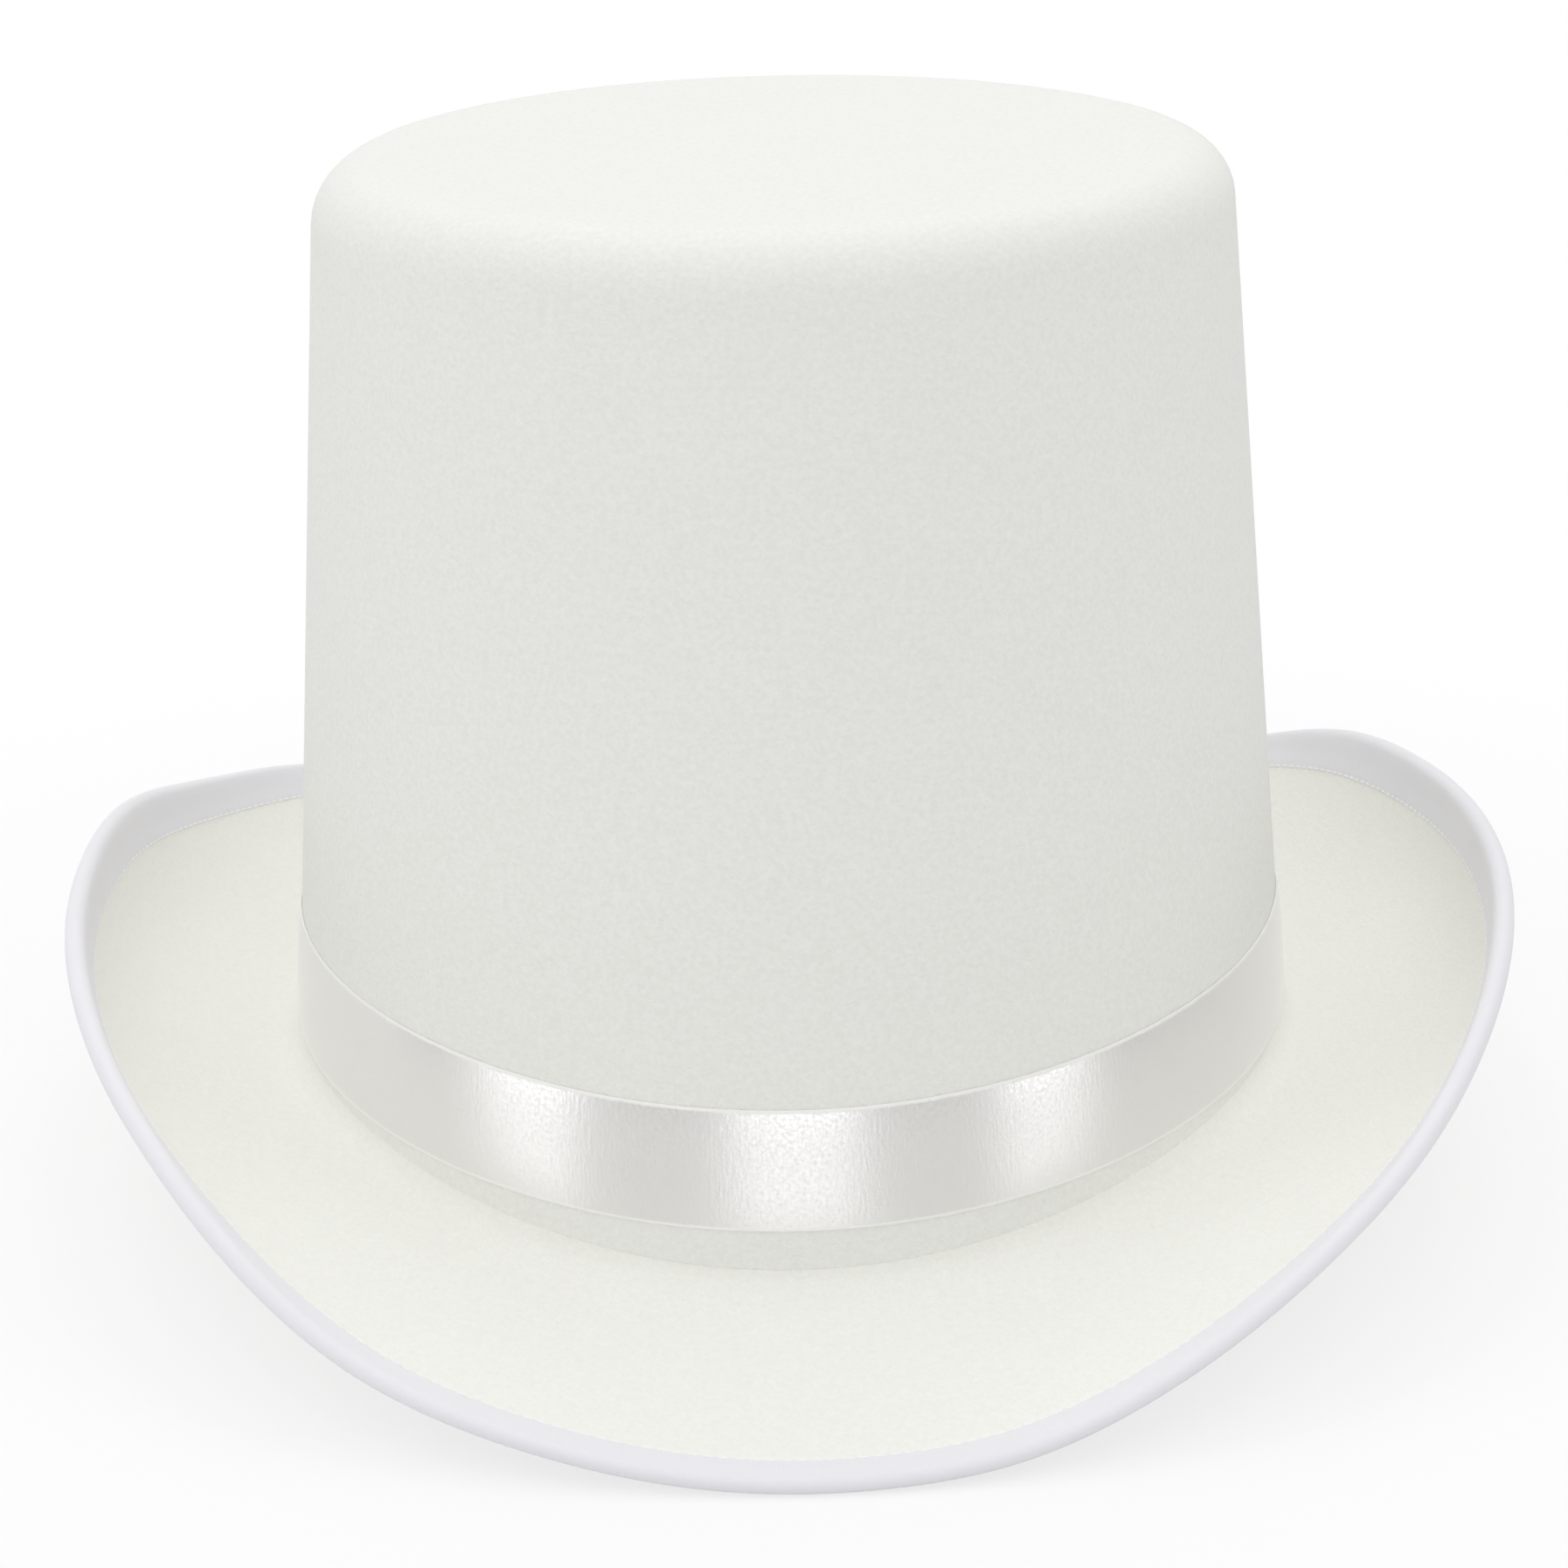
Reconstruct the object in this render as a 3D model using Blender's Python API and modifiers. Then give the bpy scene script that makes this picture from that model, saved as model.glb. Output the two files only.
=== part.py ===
"""White felt top hat: a blocked crown, a rolled brim, a satin band and a taped, wired brim edge.

Metres, +Z up, the front towards -Y. The origin lies under the middle of the hat, on the surface
that the front and back of the brim stand on.
"""

import math

import bmesh
import bpy
from mathutils import Vector

# Crown, outside
FOOT_HALF_WIDTH = 0.0885
FOOT_HALF_LENGTH = 0.1062
TIP_HALF_WIDTH = 0.0772
TIP_HALF_LENGTH = 0.0910
CROWN_HEIGHT = 0.1605
TIP_EDGE_RADIUS = 0.0105

# Brim: the line where it joins the crown climbs at the sides, where the brim rolls up
FELT = 0.002
BRIM_WIDTH = 0.0474
FRONT_DIP = math.radians(11.65)
SIDE_ROLL_RADIUS = 0.0368
ROLL_SPREAD = 0.118
JOIN_RISE = 0.0068
COLLAR_HEIGHT = 0.014
CREASE_RADIUS = 0.0003

# Satin band round the foot of the crown: it climbs at the sides, but less than the join does
BAND_WIDTH = 0.0195
BAND_THICKNESS = 0.0005
BAND_ABOVE_JOIN = 0.0074
BAND_RISE = 0.0042
BAND_LAP = 0.017

# Sweatband inside, its ends butted at the back
SWEATBAND_WIDTH = 0.030
SWEATBAND_THICKNESS = 0.0008
SWEATBAND_ABOVE_JOIN = 0.0005
SWEATBAND_BUTT_GAP = 0.0006

# Binding tape folded over the brim's edge, and the wire hoop in its fold
TAPE_LEG = 0.005
TAPE_THICKNESS = 0.0005
WIRE_DIAMETER = 0.001
WIRE_END_GAP = 0.001
SLEEVE_WALL = 0.00025
SLEEVE_LENGTH = 0.010
SLEEVE_CLEARANCE = 0.00025

# Sewing threads
THREAD_DIAMETER = 0.00035
THREAD_CLEARANCE = 0.00015
TAPE_STITCH_INSET = 0.0009
SEAM_BELOW_COLLAR_TOP = 0.005

# Pieces that touch keep this gap
GAP = 0.0003

# Facets, the angle from which an edge is shaded sharp, and the step used to find a slope
STATIONS = 64
WALL_ROWS = 4
EDGE_ROWS = 4
CREASE_ROWS = 2
BRIM_ROWS = 5
FOLD_ROWS = 6
SHARP_EDGE = math.radians(40)
NUDGE = 1e-5

# Sizes that follow from the ones above
COLLAR_SETBACK = FELT + GAP
SLEEVE_RADIUS = WIRE_DIAMETER / 2 + SLEEVE_CLEARANCE + SLEEVE_WALL
FOLD_RADIUS = max(FELT / 2, SLEEVE_RADIUS) + GAP
WIRE_RUN = BRIM_WIDTH + GAP + SLEEVE_RADIUS
STITCH_RUN = BRIM_WIDTH - TAPE_LEG + TAPE_STITCH_INSET
SEAM_ABOVE_JOIN = COLLAR_HEIGHT - SEAM_BELOW_COLLAR_TOP
THREAD_CENTRE = THREAD_CLEARANCE + THREAD_DIAMETER / 2
BAND_STANDOFF = 2 * THREAD_CENTRE
SWEATBAND_FACE = COLLAR_SETBACK + FELT + GAP
STEP_ANGLE = 2 * math.pi / STATIONS
BACK = STATIONS // 2
RIGHT_ANGLE = math.pi / 2


def oval(half_width, half_length, angle):
    """A point of an oval and its outward direction. Angle 0 is the front, and it turns towards +X."""
    point = Vector((half_width * math.sin(angle), -half_length * math.cos(angle), 0.0))
    outward = Vector((half_length * math.sin(angle), -half_width * math.cos(angle), 0.0))
    return point, outward.normalized()


def wall_oval(height, angle):
    """The crown's outside at a height above the foot: the oval shrinks evenly up to the tip."""
    share = height / CROWN_HEIGHT
    half_width = FOOT_HALF_WIDTH + (TIP_HALF_WIDTH - FOOT_HALF_WIDTH) * share
    half_length = FOOT_HALF_LENGTH + (TIP_HALF_LENGTH - FOOT_HALF_LENGTH) * share
    return oval(half_width, half_length, angle)


def wall_point(height, outside, angle):
    """A point beside the crown's wall, at a distance outside it."""
    point, outward = wall_oval(height, angle)
    return point + outside * outward + Vector((0.0, 0.0, height))


def wall_lean(angle):
    """How far the wall leans in from upright."""
    foot, outward = wall_oval(0.0, angle)
    tip, _ = wall_oval(CROWN_HEIGHT, angle)
    return math.atan2((foot - tip).dot(outward), CROWN_HEIGHT)


def roll_share(angle):
    """How much of the side roll the brim has: none at the front and back, all of it at the sides."""
    return math.sin(angle) ** 2 + ROLL_SPREAD * math.sin(2 * angle) ** 2


def join_height(angle):
    return JOIN_RISE * roll_share(angle)


def brim_section(run, angle):
    """Out and up from the join, at a run along the felt's upper face.

    Outwards the brim is an arc. Inwards it passes under the crown's edge, creases, and stands up
    as a collar along the inside of the crown.
    """
    if run >= 0.0:
        share = roll_share(angle)
        turn = share * run / SIDE_ROLL_RADIUS
        slope = -FRONT_DIP * (1.0 - share) + turn / 2
        chord = run if turn == 0.0 else run * math.sin(turn / 2) / (turn / 2)
        return chord * math.cos(slope), chord * math.sin(slope)
    shelf = COLLAR_SETBACK - CREASE_RADIUS
    if -run <= shelf:
        return run, 0.0
    bend = min((-run - shelf) / CREASE_RADIUS, RIGHT_ANGLE - wall_lean(angle))
    upright = -run - shelf - CREASE_RADIUS * bend
    out = -shelf - CREASE_RADIUS * math.sin(bend) - upright * math.cos(bend)
    up = CREASE_RADIUS * (1.0 - math.cos(bend)) + upright * math.sin(bend)
    return out, up


def brim_face(run, angle):
    join, outward = wall_oval(join_height(angle), angle)
    out, up = brim_section(run, angle)
    return join + out * outward + Vector((0.0, 0.0, join_height(angle) + up))


def brim_point(run, above, angle):
    """A point above the brim's upper face, or in or under the felt where above is negative."""
    along = brim_face(run, angle + NUDGE) - brim_face(run, angle - NUDGE)
    across = brim_face(run + NUDGE, angle) - brim_face(run - NUDGE, angle)
    return brim_face(run, angle) + above * across.cross(along).normalized()


def spread(first, last, count):
    """Evenly spaced values from first to last, both included."""
    return [first + (last - first) * i / count for i in range(count + 1)]


def material(name, colour, roughness, metallic=0.0):
    made = bpy.data.materials.new(name)
    made.use_nodes = True
    shader = made.node_tree.nodes["Principled BSDF"]
    shader.inputs["Base Color"].default_value = (*colour, 1.0)
    shader.inputs["Roughness"].default_value = roughness
    shader.inputs["Metallic"].default_value = metallic
    return made


def add(name, data, finish):
    """An object in the hat's collection, carried by the hat's empty."""
    made = bpy.data.objects.new(name, data)
    made.data.materials.append(finish)
    made.parent = hat
    parts.objects.link(made)
    return made


def sheet(name, sections, closed, finish, pole=None):
    """A skin through one section of points at each station round the hat.

    A pole closes the last point of every section to one point in the middle.
    """
    mesh = bmesh.new()
    rows = [[mesh.verts.new(point) for point in section] for section in sections]
    pairs = list(zip(rows, rows[1:]))
    if closed:
        pairs.append((rows[-1], rows[0]))
    for here, there in pairs:
        for low in range(len(here) - 1):
            mesh.faces.new((here[low], there[low], there[low + 1], here[low + 1]))
    if pole is not None:
        middle = mesh.verts.new(pole)
        for here, there in pairs:
            mesh.faces.new((here[-1], there[-1], middle))
    # Felt and tape lie on each other, so their warped faces are split along the same diagonals
    bmesh.ops.triangulate(mesh, faces=mesh.faces, quad_method="SHORT_EDGE")
    data = bpy.data.meshes.new(name)
    mesh.to_mesh(data)
    mesh.free()
    data.shade_smooth()
    data.set_sharp_from_angle(angle=SHARP_EDGE)
    return add(name, data, finish)


def thicken(piece, thickness, side):
    """Gives a skin its wall, on the side its faces point to (1) or on the other side (-1)."""
    wall = piece.modifiers.new("wall", "SOLIDIFY")
    wall.thickness = thickness
    wall.offset = side
    wall.use_even_offset = True
    wall.use_quality_normals = True


def rod(name, points, diameter, finish, cyclic=False, rounding=0, capped=True):
    """A round wire or thread along a line of points."""
    curve = bpy.data.curves.new(name, "CURVE")
    curve.dimensions = "3D"
    curve.bevel_depth = diameter / 2
    curve.bevel_resolution = rounding
    curve.use_fill_caps = capped and not cyclic
    spline = curve.splines.new("POLY")
    spline.points.add(len(points) - 1)
    for place, point in zip(spline.points, points):
        place.co = (*point, 1.0)
    spline.use_cyclic_u = cyclic
    return add(name, curve, finish)


def station_angles(first=0, count=STATIONS):
    return [STEP_ANGLE * (first + i) for i in range(count)]


def make_crown(finish):
    """Side wall and flat tip in one blocked piece of felt, skinned on its outside."""
    top_of_wall = CROWN_HEIGHT - TIP_EDGE_RADIUS
    sections = []
    for angle in station_angles():
        foot = join_height(angle) + GAP + FELT * math.sin(wall_lean(angle))
        heights = spread(foot, top_of_wall, WALL_ROWS)
        section = [wall_point(height, 0.0, angle) for height in heights]
        for bend in spread(0.0, RIGHT_ANGLE, EDGE_ROWS)[1:]:
            height = top_of_wall + TIP_EDGE_RADIUS * math.sin(bend)
            setback = TIP_EDGE_RADIUS * (1.0 - math.cos(bend))
            section.append(wall_point(height, -setback, angle))
        sections.append(section)
    crown = sheet("crown", sections, True, finish, pole=(0.0, 0.0, CROWN_HEIGHT))
    thicken(crown, FELT, -1)


def make_brim(finish):
    """Rolled brim with the collar that stands up inside the crown, skinned on its upper face."""
    shelf = COLLAR_SETBACK - CREASE_RADIUS
    crease = CREASE_RADIUS * RIGHT_ANGLE
    runs = [-shelf - crease - COLLAR_HEIGHT]
    runs += spread(-shelf - crease, -shelf, CREASE_ROWS)
    runs += spread(0.0, BRIM_WIDTH - TAPE_LEG, BRIM_ROWS)
    runs.append(BRIM_WIDTH)
    sections = [[brim_face(run, angle) for run in runs] for angle in station_angles()]
    thicken(sheet("brim", sections, True, finish), FELT, 1)


def make_brim_binding(finish):
    """Tape folded over the brim's edge, skinned on the face that lies against the felt."""
    middle = -FELT / 2
    leg = [BRIM_WIDTH - TAPE_LEG, STITCH_RUN, BRIM_WIDTH]
    line = [(run, middle + FOLD_RADIUS) for run in leg]
    for turn in spread(RIGHT_ANGLE, -RIGHT_ANGLE, FOLD_ROWS):
        line.append((WIRE_RUN + FOLD_RADIUS * math.cos(turn), middle + FOLD_RADIUS * math.sin(turn)))
    line += [(run, middle - FOLD_RADIUS) for run in reversed(leg)]
    sections = [[brim_point(*place, angle) for place in line] for angle in station_angles()]
    binding = sheet("brim_binding", sections, True, finish)
    thicken(binding, TAPE_THICKNESS, -1)
    return binding


def make_hat_band(finish):
    """Satin ribbon laid round the crown, with its end lapped over its start at the back."""
    lap_steps = max(1, round(BAND_LAP / (STEP_ANGLE * FOOT_HALF_WIDTH)))
    start = BACK - lap_steps // 2
    over = BAND_THICKNESS + GAP
    sections = []
    for step, angle in enumerate(station_angles(start, STATIONS + lap_steps + 1)):
        low = BAND_ABOVE_JOIN + BAND_RISE * roll_share(angle)
        outside = BAND_STANDOFF + (over if step >= STATIONS else 0.0)
        sections.append([wall_point(low, outside, angle), wall_point(low + BAND_WIDTH, outside, angle)])
    thicken(sheet("hat_band", sections, False, finish), BAND_THICKNESS, 1)


def make_sweatband(finish):
    """Strip round the inside of the collar, its ends butted at the back."""
    angles = station_angles(BACK, STATIONS + 1)
    half_gap = SWEATBAND_BUTT_GAP / 2 / FOOT_HALF_WIDTH
    angles[0] += half_gap
    angles[-1] -= half_gap
    sections = []
    for angle in angles:
        low = join_height(angle) + SWEATBAND_ABOVE_JOIN
        sections.append([wall_point(low + up, -SWEATBAND_FACE, angle) for up in (0.0, SWEATBAND_WIDTH)])
    thicken(sheet("sweatband", sections, False, finish), SWEATBAND_THICKNESS, -1)


def make_brim_wire(wire_finish, sleeve_finish):
    """Wire hoop in the fold of the tape, its ends held in a sleeve at the back."""
    ring = [brim_point(WIRE_RUN, -FELT / 2, angle) for angle in station_angles(BACK, STATIONS)]
    back, after, before = ring[0], ring[1], ring[-1]
    towards_after = (after - back).normalized()
    towards_before = (before - back).normalized()
    first = back + towards_after * WIRE_END_GAP / 2
    last = back + towards_before * WIRE_END_GAP / 2
    rod("brim_wire", [first, *ring[1:], last], WIRE_DIAMETER, wire_finish, rounding=1)
    reach = SLEEVE_LENGTH / 2
    line = [back + towards_before * reach, back, back + towards_after * reach]
    bore = WIRE_DIAMETER + 2 * SLEEVE_CLEARANCE
    tube = rod("wire_sleeve_line", line, bore, sleeve_finish, rounding=2, capped=False)
    graph = bpy.context.evaluated_depsgraph_get()
    data = bpy.data.meshes.new_from_object(tube.evaluated_get(graph))
    bpy.data.objects.remove(tube)
    data.materials.clear()
    thicken(add("wire_sleeve", data, sleeve_finish), SLEEVE_WALL, 1)


def make_threads(finish):
    """Needle and bobbin threads of the two sewn seams.

    One seam holds the tape, through the brim. The other goes through sweatband, collar and crown,
    and the band covers it outside.
    """
    off_tape = FOLD_RADIUS + TAPE_THICKNESS + THREAD_CENTRE
    inside = -SWEATBAND_FACE - SWEATBAND_THICKNESS - THREAD_CENTRE
    around = station_angles()

    def along_tape(above):
        return [brim_point(STITCH_RUN, above, angle) for angle in around]

    def along_wall(outside):
        return [wall_point(join_height(angle) + SEAM_ABOVE_JOIN, outside, angle) for angle in around]

    loops = {
        "binding_needle_thread": along_tape(-FELT / 2 + off_tape),
        "binding_bobbin_thread": along_tape(-FELT / 2 - off_tape),
        "sweatband_needle_thread": along_wall(inside),
        "sweatband_bobbin_thread": along_wall(THREAD_CENTRE),
    }
    for name, loop in loops.items():
        rod(name, loop, THREAD_DIAMETER, finish, cyclic=True)


for old in list(bpy.data.objects):
    bpy.data.objects.remove(old)

parts = bpy.data.collections.new("top_hat")
bpy.context.scene.collection.children.link(parts)
hat = bpy.data.objects.new("hat_base", None)
parts.objects.link(hat)

crown_felt = material("crown_felt", (0.80, 0.79, 0.76), 0.95)
brim_felt = material("brim_felt", (0.83, 0.82, 0.76), 0.95)
satin = material("satin_ribbon", (0.82, 0.81, 0.79), 0.35)
tape = material("binding_tape", (0.76, 0.75, 0.79), 0.6)
webbing = material("sweatband_webbing", (0.80, 0.79, 0.75), 0.85)
thread = material("sewing_thread", (0.84, 0.83, 0.82), 0.6)
spring_steel = material("spring_steel", (0.55, 0.55, 0.56), 0.35, 1.0)
brass = material("brass", (0.72, 0.56, 0.28), 0.35, 1.0)

make_crown(crown_felt)
make_brim(brim_felt)
binding_object = make_brim_binding(tape)
make_hat_band(satin)
make_sweatband(webbing)
make_brim_wire(spring_steel, brass)
make_threads(thread)

# The lowest edge of the binding, at the front and the back, stands on z = 0
bpy.context.view_layer.update()
shape = binding_object.evaluated_get(bpy.context.evaluated_depsgraph_get())
hat.location.z = -min(corner[2] for corner in shape.bound_box)
print(f"crown tip {hat.location.z + CROWN_HEIGHT:.4f} m above the surface, join {hat.location.z:.4f} m")
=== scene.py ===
# %% [markdown]
# # A white felt top hat
# The hat is a tall oval crown of pressed felt on a brim of the same felt, rolled up at the sides.
# A satin ribbon runs round the foot of the crown, and a tape with a wire inside binds the brim's edge.
# A plain, fixed model of the hat already exists: it says where every piece is. This lesson makes each
# piece again as a fine mesh with the right cloth on it, in the same place, and then sets up lamps and a
# camera to photograph the hat.

# %% Load the plain model
import math

import bpy
import numpy as np
from mathutils import Euler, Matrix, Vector


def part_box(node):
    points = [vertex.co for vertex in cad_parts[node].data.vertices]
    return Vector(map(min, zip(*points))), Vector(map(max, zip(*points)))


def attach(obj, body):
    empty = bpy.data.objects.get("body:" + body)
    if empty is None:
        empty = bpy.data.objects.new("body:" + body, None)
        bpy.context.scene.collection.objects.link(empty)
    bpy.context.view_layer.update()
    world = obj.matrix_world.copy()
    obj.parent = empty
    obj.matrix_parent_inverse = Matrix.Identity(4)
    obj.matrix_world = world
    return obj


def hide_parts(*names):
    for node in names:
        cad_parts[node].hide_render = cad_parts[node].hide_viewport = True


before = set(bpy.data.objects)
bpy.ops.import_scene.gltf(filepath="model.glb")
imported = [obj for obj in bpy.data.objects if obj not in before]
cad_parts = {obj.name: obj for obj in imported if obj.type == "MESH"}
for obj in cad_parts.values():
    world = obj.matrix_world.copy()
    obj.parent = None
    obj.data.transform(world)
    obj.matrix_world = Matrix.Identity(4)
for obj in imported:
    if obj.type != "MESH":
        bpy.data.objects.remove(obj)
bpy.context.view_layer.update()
print("plain pieces:", ", ".join(sorted(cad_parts)))

# %% [markdown]
# ## Sizes
# A hatter works from a block, which is an oval that shrinks evenly from the foot to the tip. So a few
# lengths describe the whole crown, in metres. The height that depends on where the hat stands is read
# from the plain model.

# %% The crown's sizes
FOOT_HALF_WIDTH = 0.0885
FOOT_HALF_LENGTH = 0.1062
TIP_HALF_WIDTH = 0.0772
TIP_HALF_LENGTH = 0.0910
CROWN_HEIGHT = 0.1605
FELT = 0.002

MM = 0.001
join_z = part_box("crown")[1].z - CROWN_HEIGHT
print(f"the crown meets the brim {join_z / MM:.1f} mm above the floor")

# %% [markdown]
# ## Following the block
# Everything on the hat follows two surfaces: the crown's wall, and the brim's upper face. Two functions
# give points on them, and each piece is then a strip or a skin laid along them. NumPy works on whole
# grids of points at once, so a fine skin takes no longer to write than a coarse one. Angle 0 is the
# front of the hat, and a quarter turn is its right side as the camera sees it.

# %% Points on the crown's wall
def oval(half_width, half_length, angle):
    """Points of an oval, and the directions out of it."""
    flat = np.zeros_like(angle)
    point = np.stack([half_width * np.sin(angle), -half_length * np.cos(angle), flat], -1)
    outward = np.stack([half_length * np.sin(angle), -half_width * np.cos(angle), flat], -1)
    return point, outward / np.linalg.norm(outward, axis=-1, keepdims=True)


def along_z(height):
    """Steps straight up by given heights."""
    return np.stack([np.zeros_like(height), np.zeros_like(height), height], -1)


def wall_oval(height, angle):
    """The block's oval at a height above the join."""
    share = height / CROWN_HEIGHT
    half_width = FOOT_HALF_WIDTH + (TIP_HALF_WIDTH - FOOT_HALF_WIDTH) * share
    half_length = FOOT_HALF_LENGTH + (TIP_HALF_LENGTH - FOOT_HALF_LENGTH) * share
    return oval(half_width, half_length, angle)


def wall_point(height, outside, angle):
    """Points at a height above the join and a distance outside the wall."""
    height, outside, angle = np.broadcast_arrays(height, outside, angle)
    point, outward = wall_oval(height, angle)
    return point + outside[..., None] * outward + along_z(join_z + height)


wall_top = wall_point(CROWN_HEIGHT, 0.0, np.radians([0.0, 90.0]))
print("the wall's top is", [round(abs(c) / MM, 1) for c in (wall_top[0, 1], wall_top[1, 0])],
      "mm from the middle at the front and side")

# %% [markdown]
# The brim leaves the crown at a slope. At the front and back it bends down at once and then runs on with
# a slight dip, and at the sides it rolls up, more tightly towards the edge. Its height could come from a
# sculpted mesh, but the tape, the wire and the stitches have to follow it exactly. So one function adds
# up the slope along each run outwards, and every piece on the brim asks that function for its points.

# %% The brim's sizes
BRIM_WIDTH = 0.0487
FRONT_DIP = math.radians(7.75)
FRONT_BEND = math.radians(45.0)
BEND_REACH = 0.013
SIDE_ROLL = math.radians(86.0)
ROLL_TIGHTENS = 1.35
ROLL_SPREAD = 0.118
JOIN_RISE = 0.0068
SLOPE_STEPS = 48


def roll_share(angle):
    """How much of the side roll the brim has: none at the front and back, all of it at the sides."""
    return np.sin(angle) ** 2 + ROLL_SPREAD * np.sin(2 * angle) ** 2


print("share of the roll every 30 degrees:", roll_share(np.radians([0, 30, 60, 90])).round(2))

# %% [markdown]
# No soft brim is even. This one has sagged at some places round its edge and sprung up at others, by a
# millimetre or two. Each such place is a smooth bell curve, set by its bearing, its reach and its lift.

# %% Sags in the brim's edge
# The bearing and reach in degrees, and the lift of the edge
SAGS = {
    "front left sag": (-28.0, 12.5, -2.2 * MM),
    "left front spring": (-47.0, 9.0, 0.5 * MM),
    "left spring": (-100.0, 13.0, 1.3 * MM),
    "back left sag": (-122.0, 16.0, -2.2 * MM),
    "front right sag": (13.0, 9.0, -1.0 * MM),
    "front right spring": (33.0, 11.7, 1.2 * MM),
    "back right spring": (124.0, 14.0, 1.3 * MM),
}
# The spread of each bell as a share of its reach, at which a quarter of the lift is left
BELL_SPREAD = 0.6


def edge_lift(angle):
    """How far the edge stands above or below an even roll."""
    lift = np.zeros_like(angle)
    for bearing, reach, height in SAGS.values():
        away = np.degrees(np.angle(np.exp(1j * (angle - math.radians(bearing)))))
        lift = lift + height * np.exp(-0.5 * (away / (BELL_SPREAD * reach)) ** 2)
    return lift


print(f"the deepest sag is {-edge_lift(np.radians(np.arange(360.0))).min() / MM:.1f} mm")

# %% Points on the brim
def brim_face(run, angle):
    """Points on the upper face at a run outwards from the join, found by adding up the slope so far."""
    run, angle = np.broadcast_arrays(run, angle)
    share = roll_share(angle)
    passed = run[..., None] * (np.arange(SLOPE_STEPS) + 0.5) / SLOPE_STEPS
    bend = FRONT_DIP + FRONT_BEND * np.clip(1.0 - passed / BEND_REACH, 0.0, 1.0) ** 2
    roll = SIDE_ROLL * (passed / BRIM_WIDTH) ** ROLL_TIGHTENS
    slope = share[..., None] * roll - (1.0 - share)[..., None] * bend
    out = run * np.cos(slope).mean(-1)
    up = run * np.sin(slope).mean(-1) + edge_lift(angle) * (run / BRIM_WIDTH) ** 2
    rise = JOIN_RISE * share
    join, outward = wall_oval(rise, angle)
    return join + out[..., None] * outward + along_z(join_z + rise + up)


def brim_normal(run, angle):
    """The directions that the upper face looks in."""
    nudge = 1e-5
    along = brim_face(run, angle + nudge) - brim_face(run, angle - nudge)
    across = brim_face(run + nudge, angle) - brim_face(run, angle)
    upward = np.cross(across, along)
    return upward / np.linalg.norm(upward, axis=-1, keepdims=True)


def brim_point(run, above, angle):
    """Points at a distance above the upper face."""
    run, above, angle = np.broadcast_arrays(run, above, angle)
    return brim_face(run, angle) + above[..., None] * brim_normal(run, angle)


rim = brim_face(BRIM_WIDTH, np.radians([0.0, 90.0]))
print("the felt's edge stands", [round(z / MM, 1) for z in rim[:, 2]], "mm high at the front and side")

# %% [markdown]
# ## Helpers
# A skin is a grid of points joined into faces, with a UV map in metres so that a weave can follow it.
# Solidify gives a skin its thickness. One function turns what modifiers made into a plain mesh, and one
# hides the piece of the plain model that the new one stands for, and prints how far their boxes differ.

# %% Skins and walls
SHARP_FROM = math.radians(50)


def steps(first, last, count):
    """Even steps from first to last, with both ends."""
    return np.linspace(first, last, count + 1)


def lengths(points):
    """How far along a line of points each of them lies."""
    return np.concatenate([[0.0], np.cumsum(np.linalg.norm(np.diff(points, axis=0), axis=1))])


def skin(name, grid, closed):
    """A mesh over a grid of points, station by row. Closed joins the last station to the first."""
    stations, rows = grid.shape[:2]
    gaps = stations if closed else stations - 1
    i, j = np.meshgrid(np.arange(gaps), np.arange(rows - 1), indexing="ij")
    corners = [(i, j), (i + 1, j), (i + 1, j + 1), (i, j + 1)]
    station = np.stack([c[0].ravel() for c in corners], -1)
    row = np.stack([c[1].ravel() for c in corners], -1)
    mesh = bpy.data.meshes.new(name)
    mesh.from_pydata(grid.reshape(-1, 3), [], (station % stations * rows + row).tolist())
    middle = grid[:, rows // 2]
    around = lengths(np.concatenate([middle, middle[:1]]) if closed else middle)
    across = lengths(grid[0])
    uv = np.stack([around[station], across[row]], -1)
    mesh.uv_layers.new(name="cloth").data.foreach_set("uv", uv.ravel())
    return mesh


def plain(piece):
    """Makes what the modifiers show the object's own mesh, and drops them."""
    graph = bpy.context.evaluated_depsgraph_get()
    mesh = bpy.data.meshes.new_from_object(piece.evaluated_get(graph))
    piece.modifiers.clear()
    piece.data = mesh
    return piece


def new_object(name, data):
    """An object in the scene that shows a mesh, a lamp or a camera."""
    piece = bpy.data.objects.new(name, data)
    bpy.context.scene.collection.objects.link(piece)
    return piece


def add_wall(piece, thickness, side):
    """Thickens a skin on the side its faces look to (1) or on the other side (-1)."""
    wall = piece.modifiers.new("wall", "SOLIDIFY")
    wall.thickness = thickness
    wall.offset = side
    wall.use_even_offset = True
    wall.use_quality_normals = True


def seat(piece, plain_node, finish=None):
    """Shades a piece, gives it its finish, and hides the piece of the plain model that it stands for."""
    piece.data.shade_smooth()
    piece.data.set_sharp_from_angle(angle=SHARP_FROM)
    if finish:
        piece.data.materials.clear()
        piece.data.materials.append(finish)
    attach(piece, "root")
    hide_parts(plain_node)
    low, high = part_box(plain_node)
    points = np.array([corner[:] for corner in piece.bound_box])
    off = max(abs(points.min(0) - low).max(), abs(points.max(0) - high).max())
    piece.data.calc_loop_triangles()
    count = len(piece.data.loop_triangles)
    print(f"{piece.name}: {count} triangles, box within {off / MM:.2f} mm of {plain_node}")


print(f"helpers are ready; edges over {math.degrees(SHARP_FROM):.0f} degrees stay sharp")

# %% [markdown]
# ## Materials
# Every finish that shows is cloth, and all of it is white, so they differ by surface and not by colour:
# felt scatters light in all directions, satin throws it back along its threads, and tape and twill lie
# in between. One function adds a node, and one fills its inputs with values and links. Another turns a
# colour as a picture editor writes it into the linear values that Blender works with.

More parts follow.
